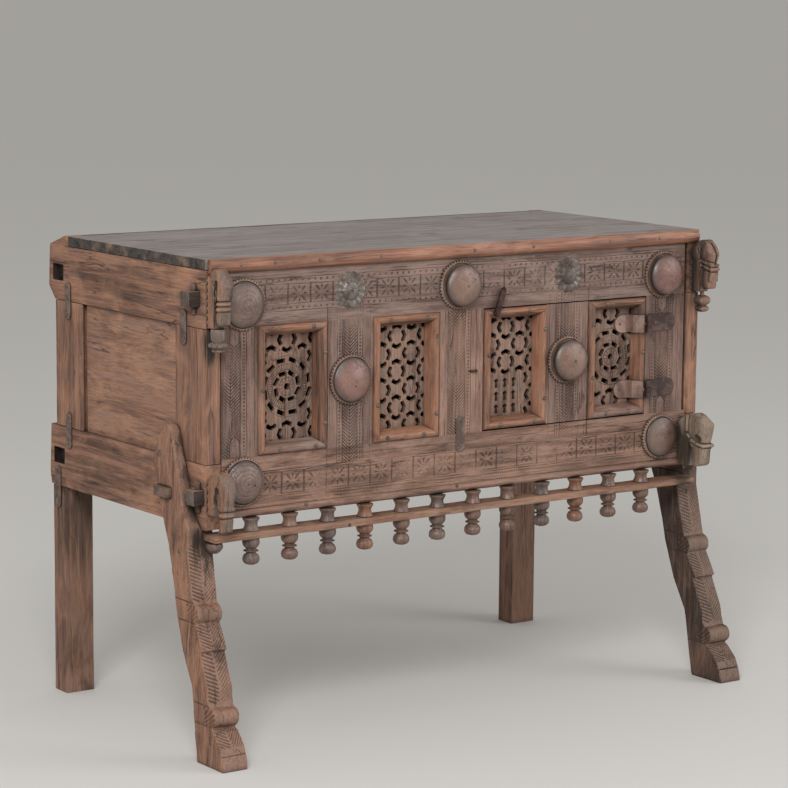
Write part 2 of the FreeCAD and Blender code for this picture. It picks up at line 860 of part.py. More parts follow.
def planks(name, count, x, y, z, across):
    """Boards of equal width side by side along Y or Z."""
    low, high = (y if across == "y" else z)
    width = (as_size(high) - low) / count
    boards = []
    for index in range(count):
        span = (low + width * index, low + width * (index + 1))
        limits = (x, span, z) if across == "y" else (x, y, span)
        boards.append(box(f"{name}_{index + 1}", *limits))
    return group(name + "_set", *boards)


back_y = (back_face, rear_leg_front)
keep("back_boards", planks("back_board", 4, (left_in, right_in), back_y, (shoulder, s.case_height), "z"))
keep("floor_boards", planks("floor_board", 3, floor_x, floor_y, floor_z, "y"))

# Top: boards laid lengthwise on the frame, with a rounded strip nailed along the front edge

keep("top_boards", planks(
    "top_board", 3, (left_out, right_out), (front, back_face), (frame_top, s.case_height), "y"
))
NOSING_FLAT = 5
NOSING_SETBACK = 5
NOSING_SHORT_END = 10
nosing_low = s.case_height - s.nosing_height
nosing = padded(
    "nosing_strip",
    "YZ_Plane",
    [
        (front, nosing_low),
        (front, s.case_height),
        (front - NOSING_FLAT, s.case_height),
        (front - NOSING_FLAT, nosing_low, front - s.nosing_depth, s.case_height - s.nosing_height / 2),
    ],
    s.case_width - NOSING_SETBACK - NOSING_SHORT_END,
)
place(nosing, x=left_out + NOSING_SETBACK)
keep("top_nosing", nosing)

# Row of turned drops: a slat along the fronts of the legs, threaded on spindles under the sill

LEG_FACE = 14
slat_top = sill_bottom - s.slat_drop
slat_low = slat_top - s.slat_thick
slat_back = front + LEG_FACE
slat_y = (slat_back - s.slat_depth, slat_back)
SLAT_LEFT_INSET = 5
SLAT_RIGHT_INSET = 18
drop_y = slat_back - s.slat_depth / 2
DROP_COUNT = 12
FIRST_DROP = -434


def spindle(name, x):
    """A spool over the slat, a shank through it, and a cup, rings and ball below."""
    radius = s.drop_radius
    path = [
        (0, sill_bottom),
        (radius, sill_bottom),
        (radius, sill_bottom - 3),
        (radius, slat_top, radius - 4, sill_bottom - s.slat_drop / 2),
        (s.drop_shank_radius, slat_top),
        (s.drop_shank_radius, slat_low),
        (radius, slat_low),
        (radius, slat_low - 4),
        (radius - 7, slat_low - 16, radius - 3, slat_low - 12),
        (radius - 7, slat_low - 18),
        (radius - 3, slat_low - 20.5),
        (radius - 7, slat_low - 23),
        (radius - 7, slat_low - 26),
        (radius - 1, slat_low - 35, radius - 2, slat_low - 30),
        (0, slat_low - 44, BALL),
    ]
    body = turned(name, path)
    place(body, x=x, y=drop_y)
    return body


drops = []
for index in range(DROP_COUNT):
    drops.append(spindle(f"drop_{index + 1}", FIRST_DROP + s.drop_pitch * index))
end_drop_x = left_in - s.side_thick / 2
end_drop = turned(
    "end_drop",
    [
        (0, slat_low),
        (s.drop_radius - 3, slat_low),
        (s.drop_radius - 1, slat_low - 8),
        (0, slat_low - 18, BALL),
    ],
)
place(end_drop, x=end_drop_x, y=drop_y)
keep("gallery_spindles", group("gallery_spindle_set", *drops, end_drop))

slat_holes = []
for index in range(DROP_COUNT):
    slat_holes.append(rod(
        f"slat_hole_{index + 1}",
        "z",
        (FIRST_DROP + s.drop_pitch * index, drop_y, slat_low),
        s.slat_thick,
        s.drop_shank_radius + s.seat_clearance,
    ))
slat_x = (left_out + SLAT_LEFT_INSET, right_out - SLAT_RIGHT_INSET)
slat_blank = box("slat_blank", slat_x, slat_y, (slat_low, slat_top))
keep("gallery_slat", cut("gallery_slat_bored", slat_blank, *slat_holes))

# Front legs: sawn animal legs that splay forward and outward, shouldered under the side frames
# and lapped up their outside

leg_top = shoulder + 163
LEG_TOE_DROP = 8
leg_path = [
    (front - s.foot_reach, -LEG_TOE_DROP),
    (front - s.foot_reach, LEG_TOE_DROP),
    (front - 104, 42, front - 113, 24),
    (front - 84, 60),
    (front - 73, 66),
    (front - 70, 97, front - 88, 82),
    (front - 66, 108),
    (front - 62, 130),
    (front - 36, 182),
    (front - 43, 187),
    (front - 18, 228),
    (front - 8, 258, front - 24, 246),
    (front + 2, slat_low - 56),
    (slat_back, slat_low - 6),
    (slat_back, shoulder + 4),
    (front + 33, shoulder + 26),
    (front + 54, shoulder + 89),
    (front + 78, shoulder + 155),
    (front + 105, leg_top, front + 90, leg_top + 4),
    (front + 122, shoulder + 139),
    (front + 136, shoulder + 103),
    (front + 119, shoulder + 55),
    (front + 75, slat_low - 16),
    (front + 55, slat_low - 78),
    (front + 46, 242),
    (front + 20, 175),
    (front - 13, 120),
    (front - 19, 87),
    (front - 28, 38),
    (front - 38, -LEG_TOE_DROP),
]


def leg_blank(name, splay_angle):
    """A leg sawn from thick plank and leaned outward about the top corner of its lap."""
    blank = padded(name, "YZ_Plane", leg_path, s.leg_thick)
    splay = Rotation(Vector(0, 1, 0), number(splay_angle))
    lap_corner = Vector(number(left_out - s.leg_lap), 0, number(leg_top))
    blank.Placement = Placement(lap_corner - splay.multVec(Vector(0, 0, number(leg_top))), splay)
    return blank


leg_reach = (front - s.foot_reach - 10, front + 200)
under_floor = box("under_floor", (left_out - 100, left_in + 100), leg_reach, (-50, 0))
beside_frame = box("beside_frame", (left_out, left_in + 100), leg_reach, (shoulder, frame_top))
leg_key_z = side_sill_middle - s.leg_key_height / 2
LEG_KEY_SETBACK = 72
leg_key_y = (front + LEG_KEY_SETBACK, front + LEG_KEY_SETBACK + s.leg_key_length)
leg_keys = []
for side, splay_angle, key_reach in (
    ("left", s.left_leg_splay, s.left_leg_key_reach),
    ("right", s.right_leg_splay, s.right_leg_key_reach),
):
    key = box(
        f"leg_key_{side}",
        (left_out - key_reach, left_out),
        leg_key_y,
        (leg_key_z, leg_key_z + s.leg_key_height),
    )
    blank = leg_blank(f"front_leg_{side}_blank", splay_angle)
    leg = cut(f"front_leg_{side}_cut", blank, under_floor, beside_frame, key)
    if side == "right":
        leg, key = mirrored("front_leg_mirror", leg), mirrored("leg_key_mirror", key)
    keep("front_leg_" + side, leg)
    leg_keys.append(key)
keep("leg_keys", group("leg_key_pair", *leg_keys))

# Brackets: horse heads sawn from thick board, fixed to the front ends of the side rails



def upper_head(name, brow_top, brow):
    """A head with its brow at a level above the frame's top and a reach from the front."""
    head = padded(
        name,
        "YZ_Plane",
        [
            (front, opening_top + 3),
            (front, frame_top - 13),
            (front - 16, frame_top + brow_top - 7),
            (front - brow + 9, frame_top + brow_top - 9, front - 30, frame_top + brow_top),
            (front - brow, frame_top - 20),
            (front - brow + 5, frame_top - 44),
            (front - brow + 9, opening_top + 11),
            (front - 31, opening_top + 8),
            (front - 32, frame_top - 33),
            (front - 28, frame_top - 33, front - 30, frame_top - 30),
            (front - 27, opening_top + 3),
        ],
        s.bracket_thick,
    )
    place(head, x=left_out)
    return head


keep("bracket_upper_left", upper_head("upper_left_head", 5, 53))
keep("bracket_upper_right", mirrored("upper_right_head_mirror", upper_head("upper_right_head", 2, 62)))
lower_left_head = padded(
    "lower_left_head",
    "YZ_Plane",
    [
        (front, side_sill_top - 75),
        (front, side_sill_top - 30),
        (front - 18, side_sill_top - 20),
        (front - 48, side_sill_top - 18, front - 33, side_sill_top - 14),
        (front - 60, side_sill_top - 29),
        (front - 63, side_sill_top - 46),
        (front - 58, side_sill_top - 72),
        (front - 50, side_sill_top - 94),
        (front - 34, side_sill_top - 96),
        (front - 36, side_sill_top - 39),
        (front - 25, side_sill_top - 61),
        (front - 22, side_sill_top - 75),
    ],
    s.bracket_thick,
)
place(lower_left_head, x=left_out)
keep("bracket_lower_left", lower_left_head)
LOWER_RIGHT_INSET = 47
lower_right_head = padded(
    "lower_right_head",
    "YZ_Plane",
    [
        (front, side_sill_top - 92),
        (front, side_sill_top - 12),
        (front - 18, side_sill_top),
        (front - 64, side_sill_top + 2, front - 40, side_sill_top + 7),
        (front - 86, side_sill_top - 6),
        (front - 76, side_sill_top - 45),
        (front - 70, side_sill_top - 81),
        (front - 42, side_sill_top - 86, front - 56, side_sill_top - 89),
        (front - 38, side_sill_top - 46),
        (front - 33, side_sill_top - 46),
        (front - 30, side_sill_top - 92),
    ],
    s.lower_right_bracket_thick,
)
place(lower_right_head, x=right_out - LOWER_RIGHT_INSET)
keep("bracket_lower_right", cut("lower_right_head_fitted", lower_right_head, sill_beam))

PENDANT_SETBACK = 22
pendant_top = opening_top + 3
pendant = turned(
    "pendant_left",
    [
        (0, pendant_top),
        (5, pendant_top),
        (5, pendant_top - 7),
        (14, pendant_top - 8),
        (14, pendant_top - 24, 18, pendant_top - 16),
        (9, pendant_top - 26),
        (13, pendant_top - 28),
        (12, pendant_top - 36),
        (0, pendant_top - 38),
    ],
)
place(pendant, x=left_out + s.bracket_thick / 2, y=front - PENDANT_SETBACK)
keep("bracket_pendants", group("pendant_pair", pendant, mirrored("pendant_mirror", pendant)))

# Bosses: turned domes on toothed collars, nailed to the front

FACING_FRONT = Rotation(Vector(1, 0, 0), 90)
COLLAR_TEETH = 44
wide_collar = s.strip_width / 2 - s.collar_margin


def toothed_collar(x, z, radius):
    """A disc cut to saw teeth round its edge."""
    tip, root = number(radius), number(radius - s.collar_tooth)
    middle = Vector(number(x), number(front), number(z))
    points = []
    for index in range(2 * COLLAR_TEETH):
        turn = math.pi * index / COLLAR_TEETH
        reach = root if index % 2 else tip
        points.append(middle + Vector(reach * math.cos(turn), 0, reach * math.sin(turn)))
    disc = Part.Face(Part.makePolygon(points + points[:1]))
    return disc.extrude(Vector(0, -number(s.collar_thick), 0))


CAP_OVERHANG = 4
FOOT_RISE = 2.5
RIM_RISE = 5


def domed(radius, height):
    """A cap over a narrower foot."""
    foot = radius - CAP_OVERHANG
    return [(0, 0), (foot, 0), (foot, FOOT_RISE), (radius, RIM_RISE), (0, height, BALL)]


def ringed(radius, height):
    """A cap with a raised ring about half way in."""
    foot = radius - CAP_OVERHANG
    return [
        (0, 0),
        (foot, 0),
        (foot, FOOT_RISE),
        (radius, RIM_RISE),
        (radius * 0.6, height * 0.74, radius * 0.84, height * 0.56),
        (radius * 0.58, height * 0.8),
        (0, height, BALL),
    ]


MIDDLE_BOSS_DROP = 4
MIDDLE_BOSS_SHIFT = 6
DOOR_BOSS_SHIFT = 3
UPPER_BOSS_DROP = 11
LOWER_COLLAR_GAP = 1
LOW_CAP_HEIGHT = 14
pane_level = (opening_top + opening_bottom) / 2 + 5.5
upper_boss_z = top_rail_middle - UPPER_BOSS_DROP
lower_left_collar, narrow_collar, lower_right_collar = wide_collar - 2, wide_collar - 3, wide_collar - 4.5
above_bead = bead_top + LOWER_COLLAR_GAP
LEFT_BOSS_INSET = 30
RIGHT_BOSS_INSET = 37
left_boss_x, right_boss_x = window_left - LEFT_BOSS_INSET, hinge_side + RIGHT_BOSS_INSET
window_strip = (window_left + window_right) / 2
door_strip = (door_left + pane_width + door_right - hinge_pane_width) / 2
middle_boss_x = (window_right + door_side) / 2 - MIDDLE_BOSS_SHIFT
middle_boss_z = top_rail_middle - MIDDLE_BOSS_DROP
lower_left_z, lower_right_z = above_bead + lower_left_collar, above_bead + lower_right_collar
boss_places = {
    "boss_top_left": (left_boss_x, upper_boss_z, wide_collar, ringed, s.wide_boss_height),
    "boss_top_middle": (middle_boss_x, middle_boss_z, narrow_collar, domed, s.boss_height),
    "boss_top_right": (right_boss_x, upper_boss_z, narrow_collar, domed, s.boss_height),
    "boss_bottom_left": (left_boss_x, lower_left_z, lower_left_collar, ringed, s.wide_boss_height),
    "boss_bottom_right": (right_boss_x, lower_right_z, lower_right_collar, domed, LOW_CAP_HEIGHT),
    "boss_window": (window_strip, pane_level, wide_collar, domed, s.wide_boss_height),
    "boss_door": (door_strip - DOOR_BOSS_SHIFT, pane_level, narrow_collar, domed, s.boss_height),
}
fixed_collars = []
for name, (x, z, collar_radius, section, height) in boss_places.items():
    dome = turned(name + "_dome", section(collar_radius - s.collar_rim, height))
    place(dome, x, front - s.collar_thick, z, FACING_FRONT)
    keep(name, dome)
    collar = feature(name + "_collar", toothed_collar(x, z, collar_radius))
    if name == "boss_door":
        keep("boss_collar_door", collar)
    else:
        fixed_collars.append(collar)
keep("boss_collars", group("boss_collar_set", *fixed_collars))

rosette_section = [
    (0, 0),
    (s.rosette_radius, 0),
    (s.rosette_radius, 1.5),
    (s.rosette_radius - 6, 3.5),
    (s.rosette_radius - 14, 2.5),
    (s.rosette_radius - 20, 6),
    (0, 8),
]
rosettes = []
for name, x in (("rosette_left", window_strip), ("rosette_right", door_strip)):
    rosette = turned(name, rosette_section)
    place(rosette, x, front, top_rail_middle, FACING_FRONT)
    rosettes.append(rosette)
keep("rosettes", group("rosette_pair", *rosettes))

# Iron: flat straps nailed across the joints of the side frames, a patch and a staple on the front


def side_strap(name, y_middle, z_low, z_high):
    return box(
        name,
        (left_out - s.strap_thick, left_out),
        (y_middle - s.side_strap_width / 2, y_middle + s.side_strap_width / 2),
        (z_low, z_high),
    )


rear_strap_y = (rear_stile_y[0] + rear_stile_y[1]) / 2
straps = [
    side_strap("strap_rear_top", rear_strap_y, opening_top - 31, opening_top + 33),
    side_strap("strap_front_top", front + 67, opening_top - 31, opening_top + 27),
    side_strap("strap_rear_bottom", rear_strap_y, side_sill_top - 37, side_sill_top + 27),
    side_strap("strap_rear_leg", rear_leg_front + 24, shoulder - 40, shoulder + 35),
]
straps += [mirrored(strap.Name + "_mirror", strap) for strap in straps]
PATCH_HALF_WIDTH = 9.5
PATCH_HALF_LENGTH = 31
patch_x = (window_right + door_side) / 2
patch = box(
    "patch_strap",
    (patch_x - PATCH_HALF_WIDTH, patch_x + PATCH_HALF_WIDTH),
    (front - s.strap_thick, front),
    (opening_bottom - PATCH_HALF_LENGTH, opening_bottom + PATCH_HALF_LENGTH),
)
keep("iron_straps", group("iron_strap_set", *straps, patch))

STAPLE_RING = 7
STAPLE_WIRE = 2
staple = doc.addObject("Part::Torus", "staple_loop")
staple.Radius1 = STAPLE_RING
staple.Radius2 = STAPLE_WIRE
staple.Angle3 = 180
place(staple, door_side - 21, front, pane_level - 5, Rotation(180, 0, 0))
keep("door_staple", staple)

# Build, test every object, and write one file for each node

doc.recompute()
for item in doc.Objects:
    if {"Invalid", "Error"} & set(item.State):
        raise RuntimeError(f"{item.Label}: {item.State}")
for name, piece in nodes.items():
    if piece.Shape.isNull() or not piece.Shape.isValid():
        raise RuntimeError(f"{name}: bad shape")

os.makedirs("parts", exist_ok=True)
for name, piece in nodes.items():
    piece.Shape.exportStep(os.path.join("parts", name + ".step"))
print(len(nodes), "nodes written")
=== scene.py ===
import math

import bmesh
import bpy
from mathutils import Matrix, Vector, noise


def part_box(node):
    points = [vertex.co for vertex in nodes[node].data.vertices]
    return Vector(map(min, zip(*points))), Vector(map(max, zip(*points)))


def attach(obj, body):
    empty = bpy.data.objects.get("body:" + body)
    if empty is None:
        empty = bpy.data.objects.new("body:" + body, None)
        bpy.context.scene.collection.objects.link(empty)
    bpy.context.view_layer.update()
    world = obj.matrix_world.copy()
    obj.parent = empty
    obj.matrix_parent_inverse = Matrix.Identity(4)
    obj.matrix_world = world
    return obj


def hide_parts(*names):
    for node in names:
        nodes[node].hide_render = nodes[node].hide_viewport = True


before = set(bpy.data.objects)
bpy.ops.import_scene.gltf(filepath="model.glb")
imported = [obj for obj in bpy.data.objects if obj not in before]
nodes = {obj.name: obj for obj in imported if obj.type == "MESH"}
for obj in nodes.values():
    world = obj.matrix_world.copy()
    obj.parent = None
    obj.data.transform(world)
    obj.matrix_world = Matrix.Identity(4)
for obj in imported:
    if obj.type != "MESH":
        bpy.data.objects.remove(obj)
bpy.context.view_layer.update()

# Side frames
# Each side is two rails and two stiles of old teak, mortised and pegged together round a panel
# that slides in their grooves. The wood was never painted, only darkened by smoke and handling,
# and painted shade darkens its corners and the shadowed parts of the stile fronts.

MM = 0.001
GRAIN_X, GRAIN_Y, GRAIN_Z = "x", "y", "z"


class Finish:
    """A node material while it is put together."""

    def __init__(self, name):
        self.material = bpy.data.materials.new(name)
        self.material.use_nodes = True
        self.tree = self.material.node_tree
        self.shader = self.tree.nodes["Principled BSDF"]
        self.place = self.add("TexCoord").outputs["Object"]

    def add(self, kind, sockets=None, **settings):
        made = self.tree.nodes.new("ShaderNode" + kind)
        for key, value in settings.items():
            setattr(made, key, value)
        for socket, value in (sockets or {}).items():
            self.feed(made.inputs[socket], value)
        return made

    def feed(self, socket, value):
        if isinstance(value, bpy.types.NodeSocket):
            self.tree.links.new(value, socket)
        else:
            socket.default_value = value

    def stretched(self, scale, offset=(0, 0, 0)):
        sockets = {"Vector": self.place, "Scale": scale, "Location": offset}
        return self.add("Mapping", sockets).outputs[0]

    def cloud(self, vector, scale, detail, rough, warp=0):
        sockets = {"Vector": vector, "Scale": scale, "Detail": detail}
        sockets.update({"Roughness": rough, "Distortion": warp})
        return self.add("TexNoise", sockets).outputs[0]

    def spread(self, value, low, high, start=0, end=1):
        sockets = {0: value, 1: low, 2: high, 3: start, 4: end}
        return self.add("MapRange", sockets, interpolation_type="SMOOTHSTEP").outputs[0]

    def combined(self, first, second, operation="MULTIPLY"):
        return self.add("Math", {0: first, 1: second}, operation=operation).outputs[0]

    def mix(self, amount, first, second):
        sockets = {0: amount, 6: first, 7: second}
        return self.add("Mix", sockets, data_type="RGBA", clamp_factor=True).outputs[2]

    def nearness(self, reach):
        """How open the surface is: 1 in the open, 0 deep in a corner."""
        return self.add("AmbientOcclusion", {"Distance": reach}, samples=6).outputs["AO"]

    def raised(self, height, strength, reach):
        sockets = {"Height": height, "Strength": strength, "Distance": reach}
        self.feed(self.shader.inputs["Normal"], self.add("Bump", sockets).outputs[0])

    def colour(self, value, roughness):
        self.feed(self.shader.inputs["Base Color"], value)
        self.feed(self.shader.inputs["Roughness"], roughness)


def rgba(colour, share=1.0):
    return tuple(share * part for part in colour) + (1.0,)


def grain_scale(grain, along, across):
    return tuple(along if axis == grain else across for axis in (GRAIN_X, GRAIN_Y, GRAIN_Z))


SOOT = (0.033, 0.024, 0.019)
DUST = (0.225, 0.192, 0.175)


def old_wood(
    name, grain, main, pale, dark, dust=0.3, stain=0.5, corner_shade_and_dirt=0.75, rough=0.6, shine=0.22, carved=0.0,
    soot_and_shade=(), front=None,
):
    """Bare old wood: streaks along the grain, worn paler patches, grey dust, stains, drying cracks,
    and corners painted dark with dirt and painted shade. carved is how far dirt and painted shade hide
    the wood in hollows that a carved piece marks as such, whose raised marks are painted paler as wear;
    the dark spots are clouds as (middle, reach, share), soot on some pieces and painted shade on others;
    and front is the tone of what faces forward, which on some pieces is painted light and shade."""
    finish = Finish(name)
    finish.shader.inputs["Specular IOR Level"].default_value = shine
    streaks = finish.cloud(finish.stretched(grain_scale(grain, 4, 80)), 1.0, 8, 0.66, 0.4)
    fibres = finish.cloud(finish.stretched(grain_scale(grain, 28, 750)), 1.0, 3, 0.6, 0.2)
    patches = finish.cloud(finish.stretched(grain_scale(grain, 7, 15), (3, 1, 7)), 1.0, 7, 0.64, 0.7)
    greyed = finish.cloud(finish.stretched(grain_scale(grain, 11, 95), (8, 5, 2)), 1.0, 7, 0.7, 0.5)
    stains = finish.cloud(finish.stretched(grain_scale(grain, 6, 15), (1, 9, 4)), 1.0, 8, 0.68, 0.6)
    shakes = finish.cloud(finish.stretched(grain_scale(grain, 2.5, 34), (5, 2, 6)), 1.0, 4, 0.5, 0.4)
    tone = finish.mix(finish.spread(streaks, 0.36, 0.58), rgba(dark), rgba(main))
    tone = finish.mix(finish.spread(patches, 0.46, 0.66, 0, 0.8), tone, rgba(pale))
    # A tone for what faces forward: on some pieces it paints light and shade between the front and the
    # flanks.
    if front:
        normal = finish.add("NewGeometry").outputs["Normal"]
        facing = finish.add("VectorMath", {0: normal, 1: (0, -1, 0)}, operation="DOT_PRODUCT")
        tone = finish.mix(finish.spread(facing.outputs["Value"], 0.3, 0.8, 0, 0.8), tone, rgba(front))
    tone = finish.mix(finish.spread(greyed, 0.48, 0.64, 0, dust), tone, rgba(DUST))
    tone = finish.mix(finish.spread(stains, 0.54, 0.7, 0, stain), tone, rgba(dark, 0.4))
    tone = finish.mix(finish.spread(fibres, 0.32, 0.6, 0.5, 0), tone, rgba(dark, 0.5))
    crack = finish.combined(finish.combined(shakes, 0.5, "SUBTRACT"), 0, "ABSOLUTE")
    here = finish.spread(patches, 0.42, 0.58, 0.75, 0)
    crack = finish.combined(finish.spread(crack, 0.002, 0.013, 1, 0), here)
    tone = finish.mix(crack, tone, rgba(SOOT))
    if carved:
        flecks = finish.cloud(finish.place, 330, 3, 0.6)
        tone = finish.mix(finish.spread(flecks, 0.55, 0.7, 0, 0.35), tone, rgba(pale, 1.15))
    # Dark clouds about given points: soot stains on some pieces, painted shade and shadow on others.
    for middle, reach, share in soot_and_shade:
        shift = tuple(-place / size for place, size in zip(middle, reach))
        spot = finish.stretched(tuple(1 / size for size in reach), shift)
        spot = finish.add("TexGradient", {"Vector": spot}, gradient_type="SPHERICAL").outputs["Fac"]
        cloudy = finish.combined(spot, finish.spread(streaks, 0.36, 0.62, 1.5, 0.3))
        tone = finish.mix(finish.spread(cloudy, 0.03, 0.6, 0, share), tone, rgba(SOOT))
    # Corners are painted darker the more closed in they are: painted shade, with dirt.
    corners = finish.spread(finish.nearness(0.016), 0.25, 0.85, corner_shade_and_dirt, 0)
    tone = finish.mix(corners, tone, rgba(SOOT))
    if carved:
        hollow = finish.add("Attribute", attribute_name="hollow").outputs["Fac"]
        # Raised marks are painted paler, as wear; marked hollows are painted dark, with dirt and painted
        # shade in the cuts and painted shade under and round the bosses' caps.
        tone = finish.mix(finish.spread(hollow, -0.2, -1, 0, 0.5), tone, rgba(pale, 1.2))
        tone = finish.mix(finish.spread(hollow, 0.08, 0.75, 0, carved), tone, rgba(SOOT))
    sheen = finish.combined(finish.spread(streaks, 0.3, 0.7, 0.16, -0.08), rough, "ADD")
    finish.colour(tone, sheen)
    ridges = finish.combined(finish.combined(streaks, 0.6), fibres, "ADD")
    finish.raised(finish.combined(ridges, crack, "SUBTRACT"), 0.55, 0.0009)
    return finish.material


def bare_copy(node):
    """A node's mesh with its corners joined and its flat faces whole again."""
    bm = bmesh.new()
    bm.from_mesh(nodes[node].data)
    bmesh.ops.remove_doubles(bm, verts=bm.verts[:], dist=0.01 * MM)
    flat = math.radians(1)
    bmesh.ops.dissolve_limit(bm, angle_limit=flat, verts=bm.verts[:], edges=bm.edges[:])
    return bm


def bevelled(bm, edges, width, segments):
    bmesh.ops.bevel(
        bm, geom=edges, offset=width, offset_type="OFFSET", segments=segments, profile=0.5,
        affect="EDGES", material=-1, clamp_overlap=True,
    )


def ease_edges(bm, width, turn=25):
    """Round the sharp edges, as wear and the plane leave them."""
    sharp = [
        edge for edge in bm.edges
        if len(edge.link_faces) == 2 and edge.calc_face_angle() > math.radians(turn)
    ]
    bevelled(bm, sharp, width, 2)


def slice_up(bm, step):
    """Cut a mesh across every step along all three axes, so that its faces can be worn uneven."""
    for axis in range(3):
        reach = [vert.co[axis] for vert in bm.verts]
        low, high = min(reach), max(reach)
        count = int((high - low) / step)
        normal = Vector([float(axis == other) for other in range(3)])
        for index in range(1, count + 1):
            level = low + (high - low) * index / (count + 1)
            geometry = bm.verts[:] + bm.edges[:] + bm.faces[:]
            bmesh.ops.bisect_plane(bm, geom=geometry, plane_co=normal * level, plane_no=normal)


def wear(bm, depth, pitch):
    """Take a little off each surface by a smooth uneven amount, never adding to it."""
    bm.normal_update()
    for vert in bm.verts:
        hollow = 0.5 + 0.5 * noise.noise(vert.co / pitch)
        vert.co -= vert.normal * depth * hollow


def put(name, bm, finish, slot, *stood_for, body="cabinet", crease=38, marks=()):
    """Make a finished piece of a mesh, on its body, in place of the nodes that it stands for. marks
    are further finishes, each with a test of a face's middle and normal."""
    bm.normal_update()
    for face in bm.faces:
        face.smooth = True
        for index, (_, test) in enumerate(marks):
            if test(face.calc_center_median(), face.normal):
                face.material_index = index + 1
    mesh = bpy.data.meshes.new(name)
    bm.to_mesh(mesh)
    bm.free()
    mesh.set_sharp_from_angle(angle=math.radians(crease))
    for material in (finish, *(marked for marked, _ in marks)):
        mesh.materials.append(material)
    piece = bpy.data.objects.new(name, mesh)
    bpy.context.scene.collection.objects.link(piece)
    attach(piece, body)
    if stood_for:
        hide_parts(*stood_for)


TIMBER_WEAR, TIMBER_WAVE = 0.9 * MM, 60 * MM


def worn_timber(
    node, finish, slot="frame_wood", edge=1.3 * MM, step=45 * MM, body="cabinet", marks=(), blank=None
):
    """A timber with eased edges and uneven faces, made of its node or of a blank cut from it."""
    bm = bare_copy(node) if blank is None else blank
    ease_edges(bm, edge)
    slice_up(bm, step)
    wear(bm, TIMBER_WEAR, TIMBER_WAVE)
    put(node + "_wood", bm, finish, slot, node, body=body, marks=marks)


SIDE_SHADES = {"main": (0.315, 0.162, 0.106), "pale": (0.43, 0.225, 0.138), "dark": (0.15, 0.08, 0.058)}
# Soot stains on the side rails, and a painted shade at the front of the right side, in the dark corner
# under the lower right bracket.
RAIL_SOOT_AND_SHADE = [
    ((-0.52, 0.05, 0.772), (0.06, 0.2, 0.05), 0.38), ((-0.52, 0.17, 0.43), (0.06, 0.22, 0.06), 0.42),
    ((0.52, -0.2, 0.38), (0.06, 0.06, 0.04), 0.95),
]
# Painted shadows on the front edges of the side stiles: behind the upper left pendant, and in the corner
# recess beside the upper right head.
STILE_SHADOWS = [
    ((-0.513, -0.21, 0.686), (0.022, 0.03, 0.045), 1.0), ((0.527, -0.207, 0.755), (0.05, 0.04, 0.1), 1.0),
]
PANEL_SHRINKAGE = 7 * MM
rail_wood = old_wood("side rail teak", GRAIN_Y, **SIDE_SHADES, dust=0.2, soot_and_shade=RAIL_SOOT_AND_SHADE)
stile_wood = old_wood("side stile teak", GRAIN_Z, **SIDE_SHADES, dust=0.25, soot_and_shade=STILE_SHADOWS)
panel_wood = old_wood(
    "side panel teak", GRAIN_Y, main=(0.34, 0.184, 0.124), pale=(0.43, 0.237, 0.152),
    dark=(0.19, 0.1, 0.07), dust=0.3, stain=0.45,
)
mortise_shade = old_wood(
    "dark mortise", GRAIN_Y, main=(0.035, 0.024, 0.02), pale=(0.06, 0.042, 0.034),
    dark=(0.015, 0.011, 0.01), dust=0,
)
SIDES = ("left", "right")
RAIL_FACES = [corner.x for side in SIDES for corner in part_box("side_top_rail_" + side)]
MORTISE_START, MORTISE_END = 285 * MM, 312 * MM


def in_mortise(middle, normal):
    """The open mortise at the rear of a side rail, between its outer and its inner face."""
    inside = min(abs(middle.x - face) for face in RAIL_FACES)
    return MORTISE_START < middle.y < MORTISE_END and inside > 2 * MM


for side in SIDES:
    for rail in ("side_top_rail_", "side_bottom_rail_"):
        worn_timber(rail + side, rail_wood, marks=[(mortise_shade, in_mortise)])
    worn_timber("side_front_stile_" + side, stile_wood)
    worn_timber("side_rear_stile_" + side, stile_wood)
    panel = "side_panel_" + side
    bm = bare_copy(panel)
    groove_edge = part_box("side_rear_stile_" + side)[0].y
    bmesh.ops.bisect_plane(
        bm, geom=bm.verts[:] + bm.edges[:] + bm.faces[:], clear_outer=True,
        plane_co=(0, groove_edge - PANEL_SHRINKAGE, 0), plane_no=(0, 1, 0),
    )
    bmesh.ops.holes_fill(bm, edges=[edge for edge in bm.edges if edge.is_boundary])
    worn_timber(panel, panel_wood, blank=bm)

# Rear legs and the back
# Square posts stand under the sides, and two rails run between them through open mortises. Rough
# boards close the back and the floor, nailed from outside and never smoothed.

# The rear posts are painted darker at the top and on their fronts: painted shade under the case.
POST_SHADE = [((x, 0.27, 0.35), (0.07, 0.03, 0.16), 0.6) for x in (-0.49, 0.51)]
post_wood = old_wood(
    "rear post teak", GRAIN_Z, main=(0.27, 0.14, 0.095), pale=(0.35, 0.19, 0.128),
    dark=(0.12, 0.066, 0.048), dust=0.25, stain=0.6, soot_and_shade=POST_SHADE, front=(0.225, 0.125, 0.083),
)
for side in SIDES:
    worn_timber("rear_leg_" + side, post_wood, edge=2 * MM)
back_rail_wood = old_wood("back rail teak", GRAIN_X, **SIDE_SHADES)
rail_ends = (mortise_shade, lambda middle, normal: abs(normal.x) > 0.6)
worn_timber("back_rails", back_rail_wood, marks=[rail_ends])

BOARD_GAP = 0.8 * MM


